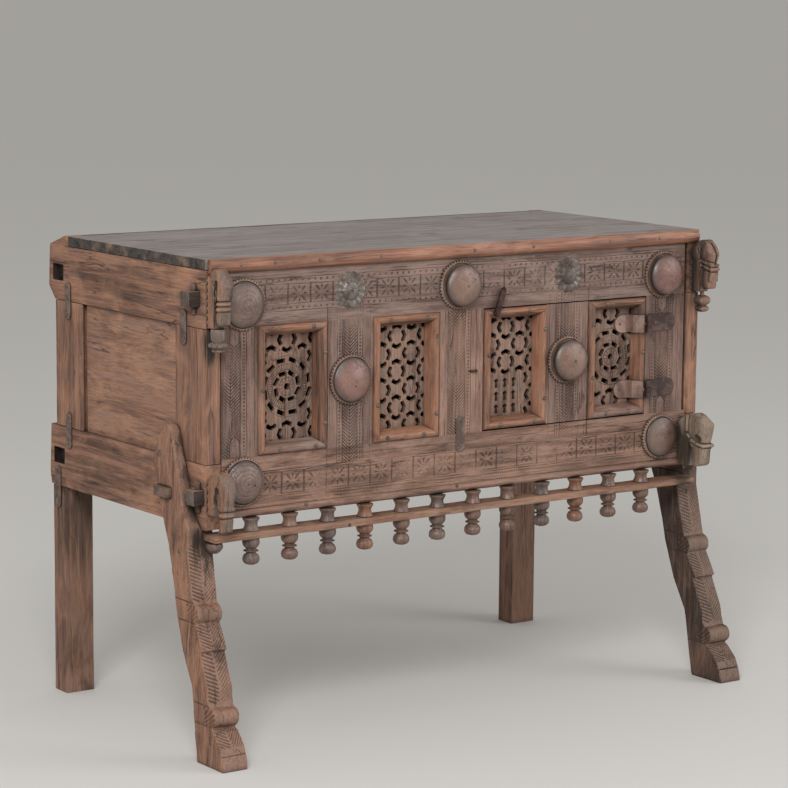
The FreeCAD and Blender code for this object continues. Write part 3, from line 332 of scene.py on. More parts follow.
def laid_boards(node, count, axis, finish, edge, marks=()):
    """Boards laid side by side over the box of a node, each a little apart from the next."""
    low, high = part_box(node)
    width = (high[axis] - low[axis]) / count
    bm = bmesh.new()
    for index in range(count):
        size = high - low
        middle = (high + low) / 2
        size[axis] = width - BOARD_GAP
        middle[axis] = low[axis] + width * (index + 0.5)
        place = Matrix.Translation(middle) @ Matrix.Diagonal((*size, 1))
        bmesh.ops.create_cube(bm, size=1, matrix=place)
    ease_edges(bm, edge)
    slice_up(bm, 70 * MM)
    wear(bm, 0.8 * MM, 90 * MM)
    put(node + "_planks", bm, finish, "board_wood", node, marks=marks)


rough_board_wood = old_wood(
    "rough board", GRAIN_X, main=(0.18, 0.105, 0.076), pale=(0.25, 0.16, 0.115),
    dark=(0.085, 0.05, 0.038), stain=0.6, rough=0.75,
)
laid_boards("back_boards", 4, 2, rough_board_wood, 1.5 * MM)
laid_boards("floor_boards", 3, 1, rough_board_wood, 1.5 * MM)

# Top
# Three wide boards lie lengthwise on the frame, worn smooth and greyed by use, with a half-round
# strip of redder wood nailed along their front edge.

top_wood = old_wood(
    "greyed top board", GRAIN_X, main=(0.235, 0.197, 0.184), pale=(0.275, 0.24, 0.228),
    dark=(0.185, 0.148, 0.135), dust=0.45, stain=0.2, rough=0.52, shine=0.42,
)
end_grain = old_wood(
    "blackened end grain", GRAIN_X, main=(0.08, 0.07, 0.066), pale=(0.28, 0.175, 0.11),
    dark=(0.03, 0.027, 0.026), dust=0.1, rough=0.7,
)
board_ends = (end_grain, lambda middle, normal: abs(normal.x) > 0.7)
laid_boards("top_boards", 3, 1, top_wood, 1.2 * MM, marks=[board_ends])
nosing_wood = old_wood(
    "nosing wood", GRAIN_X, main=(0.365, 0.155, 0.088), pale=(0.43, 0.215, 0.135),
    dark=(0.18, 0.078, 0.05), dust=0.2, stain=0.65, rough=0.34, shine=0.5,
    soot_and_shade=[((-0.42, -0.215, 0.81), (0.3, 0.06, 0.06), 0.3)],
)
worn_timber("top_nosing", nosing_wood, "moulding_wood", edge=0.6 * MM, step=30 * MM)

# Front frame
# Two rails, three stiles and the boards between them are carved all over with shallow chip work:
# bands of star squares on the rails, and upright runs of herringbone between beaded lines.

RAIL_SHADES = {"main": (0.232, 0.152, 0.126), "pale": (0.3, 0.205, 0.168), "dark": (0.135, 0.084, 0.068)}
SILL_SHADES = {"main": (0.28, 0.162, 0.118), "pale": (0.36, 0.22, 0.16), "dark": (0.14, 0.08, 0.058)}
DARK_SHADES = {"main": (0.188, 0.114, 0.092), "pale": (0.27, 0.17, 0.135), "dark": (0.098, 0.058, 0.046)}
WARM_SHADES = {"main": (0.29, 0.172, 0.128), "pale": (0.37, 0.23, 0.175), "dark": (0.15, 0.087, 0.064)}
STRIP_SHADES = {"main": (0.22, 0.137, 0.11), "pale": (0.31, 0.2, 0.157), "dark": (0.115, 0.07, 0.055)}
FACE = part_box("front_stile_left")[0].y
SIDE_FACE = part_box("side_panel_left")[0].x
CASE_MIDDLE = 10 * MM
SKIN = 1.7 * MM
CUT, DEEPEST_CUT = 1.5, 1.55
tenon_end = old_wood(
    "grey tenon end", GRAIN_X, main=(0.125, 0.092, 0.076), pale=(0.19, 0.147, 0.122),
    dark=(0.055, 0.04, 0.034),
)
# The fronts of the tenon ends and the open seam beside the right stile are painted near black: painted
# shade.
tenon_shade = old_wood(
    "shaded tenon side", GRAIN_X, main=(0.04, 0.028, 0.024), pale=(0.08, 0.055, 0.045),
    dark=(0.02, 0.014, 0.012), dust=0.1,
)


def on_tenon(middle):
    """The end of a front rail that stands out past the sides."""
    return abs(middle.x - CASE_MIDDLE) > abs(SIDE_FACE - CASE_MIDDLE) + 2 * MM


tenon_marks = [
    (tenon_end, lambda middle, normal: on_tenon(middle) and abs(normal.x) > 0.6),
    (tenon_shade, lambda middle, normal: on_tenon(middle) and normal.y < -0.6),
]
SEAM = 7 * MM
seam_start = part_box("front_stile_right")[1].x - SEAM


def in_seam(middle, normal):
    """The open joint between the front and the right side, painted near black as the shade in its gap."""
    return middle.x > seam_start and normal.y < -0.3 and not on_tenon(middle)


seam_marks = [(tenon_shade, in_seam)]
plain_rail = old_wood("front rail teak", GRAIN_X, **SILL_SHADES)
plain_stile = old_wood("front stile teak", GRAIN_Z, **STRIP_SHADES)
worn_timber("front_top_rail", plain_rail, "carved_wood", marks=tenon_marks + seam_marks)
worn_timber("front_bottom_rail", plain_rail, "carved_wood", marks=tenon_marks)
worn_timber("front_stile_left", plain_stile, "carved_wood")
worn_timber("front_stile_middle", plain_stile, "carved_wood")
worn_timber("front_stile_right", plain_stile, "carved_wood", step=7 * MM, marks=seam_marks)
worn_timber("window_board", plain_stile, "carved_wood")
worn_timber("door_board", plain_stile, "carved_wood", body="door")


def groove(offset, width):
    """Share of full depth at an offset, in millimetres, from the middle of a V cut."""
    return max(0.0, 1 - 2 * abs(offset) / width)


def fine_line(offset):
    """A narrow V cut, as most of the straight lines of the carving are."""
    return groove(offset, 2.4)


CHEVRON_PITCH, CHEVRON_SLOPE = 5.8, 0.9


def herringbone(across, height, half_width):
    """Slanting cuts that meet in a V along a middle line."""
    if abs(across) > half_width:
        return groove(abs(across) - half_width - 1.2, 2.6)
    slant = (height - CHEVRON_SLOPE * abs(across)) % CHEVRON_PITCH - CHEVRON_PITCH / 2
    return max(groove(slant, 0.62 * CHEVRON_PITCH), 0.7 * fine_line(across))


def beaded_line(across, height, pitch=6.0, radius=2.2):
    """A row of round pits along an upright line."""
    step = height % pitch - pitch / 2
    return max(0.0, 1.15 - math.hypot(across, step) / radius)


STAR_PITCH = 45.0
STRAIGHT_CHIP = (7.0, 15.0, 1.9)
SLANTING_CHIP = (5.0, 19.0, 2.5)


def star_square(x, height, half_height):
    """A square between upright cuts, with eight leaf-shaped chips about its middle, the slanting
    ones longer than the straight ones."""
    across = x % STAR_PITCH - STAR_PITCH / 2
    frame_cut = max(
        1.5 * groove(abs(across) - STAR_PITCH / 2, 4.4),
        0.8 * fine_line(abs(abs(height) - half_height + 0.5)),
    )
    if abs(height) > half_height - 2 or abs(across) > STAR_PITCH / 2 - 4.5:
        return frame_cut
    eighth = math.pi / 4
    turn = math.atan2(height, across) / eighth
    swing = (turn - round(turn)) * eighth
    start, end, half_width = SLANTING_CHIP if round(turn) % 2 else STRAIGHT_CHIP
    radius = math.hypot(across, height)
    along, aside = radius * math.cos(swing), radius * abs(math.sin(swing))
    if not start < along < end:
        return frame_cut
    leaf = half_width * math.sin(math.pi * (along - start) / (end - start))
    return max(frame_cut, 1.1 - aside / max(leaf, 0.3))


STRIPS = [
    [limit / MM for limit in (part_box(inner)[1].x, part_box(outer)[0].x)]
    for inner, outer in (
        ("moulding_window_outer", "moulding_window_inner"),
        ("moulding_door_inner", "moulding_door_outer"),
    )
]


def strip_cuts(x, z):
    """The upright run beside the bosses: herringbone between beaded lines, and an open joint."""
    for (low, high), open_joint in zip(STRIPS, (STRIPS[0][0] + 1, STRIPS[1][1] - 1)):
        across = x - (low + high) / 2
        if abs(across) < (high - low) / 2:
            return max(
                2 * groove(abs(x - open_joint), 3.6),
                herringbone(across, z, 14),
                0.9 * beaded_line(abs(across) - 21, z),
                0.8 * fine_line(abs(across) - 26),
                0.7 * fine_line(abs(across) - 41),
            )
    return 0.0


TOP_BAND, TOP_BAND_HALF = 760.0, 17.0
SILL_BAND, SILL_BAND_HALF = 444.0, 19.0


def top_rail_cuts(x, z):
    height = z - TOP_BAND
    if abs(height) <= TOP_BAND_HALF:
        return star_square(x, height, TOP_BAND_HALF)
    if height < -TOP_BAND_HALF - 10 and strip_cuts(x, z) > 0:
        return strip_cuts(x, z)
    return max(
        beaded_line(abs(height) - 23, x, 12, 2.8),
        0.8 * fine_line(abs(height) - 28),
        0.6 * fine_line(height - 33),
    )


def sill_cuts(x, z):
    height = z - SILL_BAND
    if abs(height) <= SILL_BAND_HALF:
        return star_square(x + 12, height, SILL_BAND_HALF)
    if height > SILL_BAND_HALF + 3 and strip_cuts(x, z) > 0:
        return strip_cuts(x, z)
    return max(
        0.9 * beaded_line(height + 27, x, 5),
        0.8 * fine_line(abs(height) - 22),
        0.6 * fine_line(height - 36),
    )


def tongue(x, z, foot, tip, otherwise):
    """A smooth round-ended tongue with a dot, which runs from a foot level to a tip level and breaks
    the pattern that is carved otherwise."""
    rise = (z - foot) / (tip - foot)
    half = 10 * math.sqrt(1 - max(0.0, 3 * rise - 2) ** 2) if 0 <= rise <= 1 else -1
    if abs(x) > half + 1.5:
        return otherwise
    dot = groove(math.hypot(x, z - foot - 0.6 * (tip - foot)), 5)
    return max(1.2 * groove(abs(x) - half, 3), 0.8 * dot)


def left_stile_cuts(x, z):
    run = x + 472
    pattern = max(herringbone(run, z, 17), 0.8 * fine_line(abs(run) - 19))
    pattern = tongue(run - 8, z, 494, 527, tongue(run - 8, z, 711, 680, pattern))
    return max(
        pattern,
        0.9 * beaded_line(run - 26, z),
        0.8 * fine_line(run - 31),
        0.7 * groove(run - 47, 4),
    )


def middle_stile_cuts(x, z):
    run = x + 12
    return max(
        1.4 * groove(run + 37, 3.4),
        herringbone(run, z, 17),
        0.9 * beaded_line(run - 26, z),
        0.8 * fine_line(run - 31),
        0.8 * fine_line(run + 24),
        0.6 * fine_line(run - 42),
    )


def right_stile_cuts(x, z):
    run = x - 452
    pattern = tongue(run, z, 494, 522, tongue(run, z, 711, 682, herringbone(run, z, 14)))
    return max(
        pattern,
        0.9 * beaded_line(abs(run) - 21, z),
        0.8 * fine_line(abs(run) - 26),
        0.6 * fine_line(run - 38),
    )


def carved_face(name, low, high, cuts, finish, body="cabinet"):
    """A carved skin over a flat front, between two (x, z) corners: a fine grid pushed back by the
    cuts, with its rim turned back into the wood behind."""
    wide, tall = (high[axis] - low[axis] for axis in (0, 1))
    middle = Vector(((low[0] + high[0]) / 2, FACE - SKIN, (low[1] + high[1]) / 2))
    spread = Matrix.Diagonal((wide / 2, tall / 2, 1, 1))
    place = Matrix.Translation(middle) @ Matrix.Rotation(math.radians(90), 4, "X") @ spread
    cells = [round(length / MM) for length in (wide, tall)]
    bm = bmesh.new()
    bmesh.ops.create_grid(bm, x_segments=cells[0], y_segments=cells[1], size=1, matrix=place)
    hollow = bm.verts.layers.float.new("hollow")
    for vert in bm.verts:
        worn = max(0.2, 0.8 + 0.9 * noise.noise(vert.co * 19))
        shake = 0.7 * noise.noise(vert.co * 60)
        share = worn * cuts(vert.co.x / MM + shake, vert.co.z / MM + shake)
        vert[hollow] = share
        depth = CUT * share + 0.16 + 0.16 * noise.noise(vert.co * 90)
        vert.co.y += min(depth, DEEPEST_CUT) * MM
    rim = [edge for edge in bm.edges if edge.is_boundary]
    made = bmesh.ops.extrude_edge_only(bm, edges=rim)["geom"]
    for vert in made:
        if isinstance(vert, bmesh.types.BMVert):
            vert.co.y = FACE + 0.3 * MM
    put(name, bm, finish, "carved_wood", body=body, crease=60)


left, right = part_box("front_stile_left")[0].x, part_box("front_stile_right")[1].x
opening = [corner.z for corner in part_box("front_stile_left")]
BEAD_TOP = 15 * MM
sill_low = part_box("front_bottom_rail")[0].z
nosing_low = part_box("top_nosing")[0].z
top_carving = old_wood("carved top rail teak", GRAIN_X, **RAIL_SHADES, dust=0.4, carved=0.68)
sill_carving = old_wood("carved sill teak", GRAIN_X, **SILL_SHADES, carved=0.65)
carved_face("carved_top_rail", (left, opening[1]), (right - SEAM, nosing_low), top_rail_cuts, top_carving)
carved_face("carved_sill", (left, sill_low + BEAD_TOP), (right, opening[0]), sill_cuts, sill_carving)
for side, cuts, shades in (
    ("left", left_stile_cuts, DARK_SHADES), ("middle", middle_stile_cuts, WARM_SHADES),
    ("right", right_stile_cuts, DARK_SHADES),
):
    low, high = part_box("front_stile_" + side)
    end = high.x - SEAM if side == "right" else high.x
    stile_carving = old_wood(f"carved {side} stile teak", GRAIN_Z, **shades, carved=0.8)
    carved_face(f"carved_stile_{side}", (low.x, low.z), (end, high.z), cuts, stile_carving)
strip_carving = old_wood("carved strip teak", GRAIN_Z, **STRIP_SHADES, dust=0.4, carved=0.8)
for name, (low, high), body in zip(("window", "door"), STRIPS, ("cabinet", "door")):
    levels = [corner.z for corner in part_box(name + "_board")]
    corners = ((low * MM, levels[0]), (high * MM, levels[1]))
    carved_face(f"carved_strip_{name}", *corners, strip_cuts, strip_carving, body=body)

# Mouldings
# Each pane is framed by four strips of a redder wood, planed to a bead that slopes away inwards,
# mitred at the corners and nailed through to the board.

MOULDING_SHADES = {"main": (0.3, 0.135, 0.076), "pale": (0.37, 0.19, 0.118), "dark": (0.13, 0.066, 0.046)}
MOULDING_WAX = {"stain": 0.7, "rough": 0.42, "shine": 0.35}
UPRIGHT_SMOKE = [
    ((-0.29, -0.21, 0.6), (0.025, 0.03, 0.2), 0.6), ((0.4, -0.21, 0.69), (0.03, 0.03, 0.03), 0.5),
]
LEVEL_SMOKE = [((0.35, -0.21, 0.706), (0.13, 0.04, 0.03), 0.65)]
moulding_upright = old_wood(
    "upright moulding strip", GRAIN_Z, **MOULDING_SHADES, **MOULDING_WAX, soot_and_shade=UPRIGHT_SMOKE,
)
moulding_level = old_wood(
    "level moulding strip", GRAIN_X, **MOULDING_SHADES, **MOULDING_WAX, soot_and_shade=LEVEL_SMOKE,
)
dusty_moulding = old_wood(
    "dusty lower moulding strip", GRAIN_X, main=(0.25, 0.14, 0.105), pale=(0.36, 0.25, 0.21),
    dark=(0.12, 0.068, 0.052), dust=0.7, stain=0.6,
)
BEAD_ARC = [math.radians(angle) for angle in range(180, 20, -20)]
MOULDING_WIDTH, MOULDING_LAP = 20 * MM, 14 * MM


def moulding_section(width, crest, drop, lap):
    """Section of a strip as (inward, forward) points: a bead, a slope down to the jali, the back."""
    radius = 0.36 * width
    rise = crest - radius
    bead = [(radius * (1 + math.cos(turn)), rise + radius * math.sin(turn)) for turn in BEAD_ARC]
    return [(0, 0), *bead, (0.86 * width, -0.32 * drop), (width, -drop), (lap, -drop), (lap, 0)]


def mitred_strips(node, body):
    low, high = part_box(node)
    crest, drop = FACE - low.y, high.y - FACE
    section = moulding_section(MOULDING_WIDTH, crest, drop, MOULDING_LAP)
    corners = [
        (low.x, low.z, 1, 1), (high.x, low.z, -1, 1), (high.x, high.z, -1, -1), (low.x, high.z, 1, -1),
    ]
    for index in range(len(corners)):
        bm = bmesh.new()
        loops = []
        for x, z, inward_x, inward_z in (corners[index - 1], corners[index]):
            ring = [
                bm.verts.new((x + inward_x * inward, FACE - forward, z + inward_z * inward))
                for inward, forward in section
            ]
            loops += [bm.edges.new((ring[step - 1], ring[step])) for step in range(len(ring))]
        bmesh.ops.bridge_loops(bm, edges=loops)
        bmesh.ops.holes_fill(bm, edges=bm.edges[:])
        bmesh.ops.recalc_face_normals(bm, faces=bm.faces[:])
        slice_up(bm, 11 * MM)
        wear(bm, 0.7 * MM, 22 * MM)
        finish = moulding_level if index % 2 else moulding_upright
        if index == 1 and node.endswith("outer"):
            finish = dusty_moulding
        stood_for = [node] if index == 0 else []
        put(f"{node}_strip_{index + 1}", bm, finish, "moulding_wood", *stood_for, body=body)


PANES = {"window_outer": "cabinet", "window_inner": "cabinet", "door_inner": "door", "door_outer": "door"}
for pane, body in PANES.items():
    mitred_strips("moulding_" + pane, body)

# Jalis
# Thin boards pierced right through and then chip carved: two with a wheel of slots round an eye and
# a hatched ring between them, and two with a net of stars, one of them mended with keyholes.

jali_wood = old_wood(
    "pierced board", GRAIN_Z, main=(0.26, 0.155, 0.113), pale=(0.34, 0.225, 0.17),
    dark=(0.12, 0.072, 0.054), dust=0.45, corner_shade_and_dirt=0.85, carved=0.8,
)


def fine_skin(bm, voxel):
    """The same form as an even mesh of small faces, ready to be carved."""
    mesh = bpy.data.meshes.new("blank")
    bm.to_mesh(mesh)
    bm.free()
    blank = bpy.data.objects.new("blank", mesh)
    bpy.context.scene.collection.objects.link(blank)
    remesh = blank.modifiers.new("remesh", "REMESH")
    remesh.mode = "VOXEL"
    remesh.voxel_size = voxel
    skin = bmesh.new()
    skin.from_object(blank, bpy.context.evaluated_depsgraph_get())
    bpy.data.objects.remove(blank)
    bpy.data.meshes.remove(mesh)
    return skin


def soften(bm, rounds):
    for _ in range(rounds):
        bmesh.ops.smooth_vert(
            bm, verts=bm.verts[:], factor=0.5, use_axis_x=True, use_axis_y=True, use_axis_z=True,
        )


def carve(bm, depth, cuts):
    """Push each point in by its share of the full depth, and mark it as a hollow. A share below
    nothing raises the point."""
    bm.normal_update()
    hollow = bm.verts.layers.float.new("hollow")
    shares = [cuts(vert.co, vert.normal) for vert in bm.verts]
    for vert, share in zip(bm.verts, shares):
        vert[hollow] = share
        vert.co -= vert.normal * depth * share


HATCH_COUNT, PETAL_COUNT = 52, 12
HATCHED_RING, EYE_RING, PETAL_RING = (29.0, 38.5), (7.0, 14.5), (39.5, 50.5)
RING_LINES = (*HATCHED_RING, 15.5, 51.5)


def wheel_cuts(middle):
    """Ring lines, a hatched ring and small petals about the eye."""
    def cuts(co, normal):
        if normal.y > -0.6:
            return 0.0
        u, v = (co.x - middle.x) / MM, (co.z - middle.z) / MM
        radius, turn = math.hypot(u, v), math.atan2(v, u)
        share = max(fine_line(radius - ring) for ring in RING_LINES)
        if HATCHED_RING[0] < radius < HATCHED_RING[1]:
            swing = (turn * HATCH_COUNT / math.tau) % 1 - 0.5
            share = max(share, groove(swing, 0.6))
        petal = (turn * PETAL_COUNT / math.tau) % 1 - 0.5
        if EYE_RING[0] < radius < EYE_RING[1]:
            share = max(share, 0.8 * groove(petal, 0.5))
        if PETAL_RING[0] < radius < PETAL_RING[1]:
            share = max(share, 0.7 * groove(24 * abs(petal) - 0.8 * abs(radius - 45) - 3, 2.6))
        return share * (0.8 + 0.5 * noise.noise(co * 40))
    return cuts


def net_cuts(co, normal):
    """Worn knife lines along the straps of the net."""
    if normal.y > -0.6:
        return 0.0
    return 0.5 * max(0.0, noise.noise(co * 70)) + 0.3 * max(0.0, noise.noise(co * 160))


def widen_holes(bm, low, high):
    """Cut the sides of the holes back unevenly, as a knife leaves them."""
    bm.normal_update()
    for vert in bm.verts:
        if low.x + 4 * MM < vert.co.x < high.x - 4 * MM:
            upright = max(0.0, 1 - abs(vert.normal.y) / 0.8)
            vert.co -= vert.normal * upright * (0.3 + 0.9 * noise.noise(vert.co * 60)) * MM


HOLE_CHAMFER, JALI_GRID, JALI_CUT = 3.4 * MM, 0.9 * MM, 1.1 * MM
for pane, body in PANES.items():
    node = "jali_" + pane
    low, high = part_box(node)
    bm = bare_copy(node)
    inner = [
        edge for edge in bm.edges
        if all(vert.co.y < low.y + 0.1 * MM for vert in edge.verts)
        and all(low.x + MM < vert.co.x < high.x - MM for vert in edge.verts)
    ]
    bevelled(bm, inner, HOLE_CHAMFER, 1)
    bm = fine_skin(bm, JALI_GRID)
    soften(bm, 2)
    widen_holes(bm, low, high)
    cuts = wheel_cuts((low + high) / 2) if pane.endswith("outer") else net_cuts
    carve(bm, JALI_CUT, cuts)
    put(node + "_carved", bm, jali_wood, "carved_wood", node, body=body, crease=60)

# Bosses and collars
# Turned domes nailed over toothed collars, waxed by hands until they shine. Two at the left are
# ringed, and one at the lower right was turned flat.

BOSS_WAX = {"dust": 0.05, "stain": 0.4, "rough": 0.34, "shine": 1.0, "carved": 0.95}
boss_wood = old_wood(
    "turned boss", GRAIN_Y, main=(0.2, 0.101, 0.067), pale=(0.25, 0.145, 0.104), dark=(0.13, 0.06, 0.04),
    **BOSS_WAX,
)
dark_boss_wood = old_wood(
    "dark turned boss", GRAIN_Y, main=(0.165, 0.09, 0.065), pale=(0.215, 0.13, 0.098),
    dark=(0.105, 0.054, 0.038), **BOSS_WAX,
)
red_boss_wood = old_wood(
    "red turned boss", GRAIN_Y, main=(0.205, 0.081, 0.058), pale=(0.26, 0.13, 0.1),
    dark=(0.12, 0.046, 0.033), **BOSS_WAX,
)
collar_wood = old_wood(
    "toothed collar", GRAIN_Z, main=(0.3, 0.187, 0.14), pale=(0.4, 0.27, 0.215), dark=(0.17, 0.1, 0.076),
    stain=0.3, corner_shade_and_dirt=0.9,
)
QUARTER = [math.radians(1.5 * step) for step in range(60)]
OVERHANG, FOOT_RISE, LEAST_RIM, CROWN = 5 * MM, 2 * MM, 4 * MM, 14 * MM


def rim_level(height):
    """How far the widest part of a cap stands out."""
    return max(LEAST_RIM, height - CROWN)


def dome_section(radius, height):
    """A cap over a narrower foot, from the foot to the middle, as (radius, height). The low caps
    slope evenly to their middle, and the high ones are round."""
    foot = radius - OVERHANG
    rim = rim_level(height)
    undercut = [
        (foot, 0), (foot - 0.4 * MM, 0.6 * FOOT_RISE), (foot + MM, FOOT_RISE), (radius - MM, 0.85 * rim),
    ]
    rise = height - rim
    slope = 0.75 * min(1.0, max(0.0, (22 * MM - height) / (5 * MM)))
    crown = []
    for turn in QUARTER:
        across = math.cos(turn)
        up = (1 - slope) * math.sin(turn) + slope * (1 - across**1.7)
        crown.append((radius * across, rim + rise * up))
    return undercut + crown + [(0, height)]


def turned(section, foot, axis, steps=72):
    """A turned piece: a section of (radius, height) points spun about an axis through its foot."""
    bm = bmesh.new()
    side = Vector((1, 0, 0))
    chain = [bm.verts.new(foot + side * radius + axis * height) for radius, height in section]
    edges = [bm.edges.new(pair) for pair in zip(chain, chain[1:])]
    bmesh.ops.spin(
        bm, geom=chain + edges, cent=foot, axis=axis, angle=math.tau, steps=steps, use_merge=True,
        use_duplicate=False, use_normal_flip=False,
    )
    bmesh.ops.remove_doubles(bm, verts=bm.verts[:], dist=0.02 * MM)
    open_rim = [edge for edge in bm.edges if edge.is_boundary]
    bmesh.ops.holes_fill(bm, edges=open_rim)
    bmesh.ops.recalc_face_normals(bm, faces=bm.faces[:])
    return bm


FORWARD = Vector((0, -1, 0))
BOSSES = {
    "top_left": dark_boss_wood, "top_middle": boss_wood, "top_right": red_boss_wood,
    "bottom_left": dark_boss_wood, "bottom_right": dark_boss_wood, "window": red_boss_wood,
    "door": boss_wood,
}
RINGS = {"top_left": (0.64, 0.44, 0.26), "bottom_left": (0.86, 0.62, 0.42, 0.24)}
RING_CUT = 1.2 * MM
# How dark the outer slope of a dome is painted towards its rim: painted shade.
DOME_RIM_SHADE = 0.62
WORN_SMALL = {"top_left": 0.95, "window": 0.94, "bottom_left": 0.95}


def join_into(bm, one):
    """Add one mesh to another."""
    mesh = bpy.data.meshes.new("added")
    one.to_mesh(mesh)
    one.free()
    bm.from_mesh(mesh)
    bpy.data.meshes.remove(mesh)


LIP = [(0.8, -1), (1, 0.8), (1.9, 1.6), (2.9, 1.1), (3.3, -1)]
collars = {"cabinet": bare_copy("boss_collars"), "door": bare_copy("boss_collar_door")}
for bm in collars.values():
    ease_edges(bm, 0.9 * MM, turn=30)
for place, finish in BOSSES.items():
    low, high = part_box("boss_" + place)
    foot = Vector(((low.x + high.x) / 2, high.y, (low.z + high.z) / 2))
    size = WORN_SMALL.get(place, 1.0)
    body = "door" if place == "door" else "cabinet"
    for vert in collars[body].verts:
        spoke = Vector((vert.co.x - foot.x, 0, vert.co.z - foot.z))
        if spoke.length < high.x - low.x:
            vert.co -= spoke * (1 - size)
    radius = size * (high.x - low.x) / 2
    bm = turned(dome_section(radius, high.y - low.y), foot, FORWARD)
    # Below the rim of its cap a dome is painted dark, as painted shade under the overhang; above it the
    # rings are darkened in their cuts, with dirt and painted shade, and the slope is painted darker
    # towards the rim, as painted shade.
    hollow = bm.verts.layers.float.new("hollow")
    for vert in bm.verts:
        across = math.hypot(vert.co.x - foot.x, vert.co.z - foot.z)
        if foot.y - vert.co.y < 0.9 * rim_level(high.y - low.y):
            vert[hollow] = 1.0
        else:
            rings = [groove((across - ring * radius) / MM, 3) for ring in RINGS.get(place, ())]
            cut = 0.5 * max(rings, default=0.0)
            vert.co.y += RING_CUT * cut
            vert[hollow] = max(cut, DOME_RIM_SHADE * max(0.0, 1.8 * across / radius - 0.8) ** 1.6)
    wear(bm, 0.5 * MM, 16 * MM)
    put(f"boss_{place}_turned", bm, finish, "ornament_wood", "boss_" + place, body=body, crease=50)
    join_into(collars[body], turned([(radius + out * MM, up * MM) for out, up in LIP], foot, FORWARD))
put("boss_collars_worn", collars["cabinet"], collar_wood, "ornament_wood", "boss_collars")
put(
    "boss_collar_door_worn", collars["door"], collar_wood, "ornament_wood", "boss_collar_door",
    body="door",
)

# Rosettes
# Two flowers embossed in thin sheet metal, dull and browned but bright where they stand out, with a
# domed heart, a ring of petals and a notched edge, each held by one nail.

PETALS = 14
ROSETTE = [
    (1, 0), (1, 0.14), (0.95, 0.3), (0.88, 0.44), (0.79, 0.5), (0.68, 0.46), (0.58, 0.34), (0.52, 0.36),
    (0.47, 0.6), (0.39, 0.82), (0.28, 0.94), (0.14, 1), (0, 1),
]


def worn_metal(name, bright, dull, metallic, rough, blotch=70, shine=0.5):
    """Old metal: bright where it is rubbed, dull and brown between, and painted near black in its corners
    as painted shade.
    """
    finish = Finish(name)
    blotches = finish.cloud(finish.place, blotch, 6, 0.6, 0.5)
    pits = finish.cloud(finish.place, 420, 3, 0.6)
    tone = finish.mix(finish.spread(blotches, 0.4, 0.6), rgba(bright), rgba(dull))
    tone = finish.mix(finish.spread(pits, 0.55, 0.7, 0, 0.6), tone, rgba(dull, 0.5))
    # Corners are painted near black: painted shade.
    tone = finish.mix(finish.spread(finish.nearness(0.006), 0.3, 0.85, 0.9, 0), tone, rgba(SOOT))
    finish.colour(tone, finish.spread(blotches, 0.35, 0.65, rough, rough + 0.25))
    finish.shader.inputs["Metallic"].default_value = metallic
    finish.shader.inputs["Specular IOR Level"].default_value = shine
    finish.raised(finish.combined(blotches, pits, "ADD"), 0.4, 0.0006)
    return finish.material


rosette_metal = worn_metal("tarnished sheet", (0.185, 0.154, 0.139), (0.085, 0.06, 0.05), 0.45, 0.34, 40)
low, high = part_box("rosettes")
flower_radius = (high.z - low.z) / 2
flower_places = (low.x + flower_radius, high.x - flower_radius)
bm = bmesh.new()
for x in flower_places:
    foot = Vector((x, high.y, (low.z + high.z) / 2))
    section = [(flower_radius * across, (high.y - low.y) * up) for across, up in ROSETTE]
    flower = turned(section, foot, FORWARD, 112)
    for vert in flower.verts:
        spoke = Vector((vert.co.x - foot.x, 0, vert.co.z - foot.z))
        share = spoke.length / flower_radius
        wave = math.cos(PETALS * math.atan2(spoke.z, spoke.x))
        if share > 0.5:
            vert.co -= spoke * 0.07 * max(0.0, share - 0.8) * 5 * (0.5 - 0.5 * wave)
            vert.co.y = foot.y + (vert.co.y - foot.y) * (0.8 + 0.2 * wave)
        else:
            vert.co.y += 0.6 * MM * (0.5 - 0.5 * wave) * math.sin(math.tau * share)
    join_into(bm, flower)
put("rosettes_embossed", bm, rosette_metal, "rosette_metal", "rosettes", crease=50)

# Front legs
# Thick planks sawn to an animal's leg and carved with chevrons down the front, rings at knee and
# ankle, and a border with hatched bands on the flanks. They lap the sides under a wooden key.

# Dark clouds on the left leg: soot and painted shade below the slat at the top of its front, and painted
# shade down the front edge of its lap.
LEG_SOOT_AND_SHADE = [
    ((-0.52, -0.205, 0.362), (0.03, 0.03, 0.032), 1.0), ((-0.515, -0.205, 0.34), (0.03, 0.03, 0.05), 0.8),
    ((-0.517, -0.135, 0.515), (0.025, 0.026, 0.06), 0.75),
    ((-0.517, -0.155, 0.46), (0.025, 0.026, 0.06), 0.75),
    ((-0.517, -0.176, 0.405), (0.025, 0.026, 0.06), 0.75),
]
leg_wood = old_wood(
    "left leg teak", GRAIN_Z, main=(0.32, 0.16, 0.1), pale=(0.42, 0.22, 0.135), dark=(0.15, 0.08, 0.057),
    stain=0.6, carved=0.75, soot_and_shade=LEG_SOOT_AND_SHADE, front=(0.268, 0.164, 0.122),
)
# The right leg is painted dark, partly a stain and partly painted shade on its inner flank, with what
# faces forward lighter, and a painted shade at its top in the dark corner under the sill.
dark_leg_wood = old_wood(
    "right leg teak", GRAIN_Z, main=(0.085, 0.05, 0.037), pale=(0.2, 0.11, 0.074),
    dark=(0.035, 0.022, 0.018), stain=0.7, carved=0.75,
    soot_and_shade=[((0.5, -0.19, 0.38), (0.06, 0.06, 0.04), 0.95)], front=(0.235, 0.155, 0.12),
)
LEG_BANDS = ((227.0, 260.0), (66.0, 99.0))
LEG_CHEVRONS = ((104.0, 181.0, 6.4), (189.0, 226.0, 5.4), (262.0, 352.0, 6.2), (38.0, 61.0, 4.8))
LEG_GRID, LEG_CUT = 1.5 * MM, 1.8 * MM


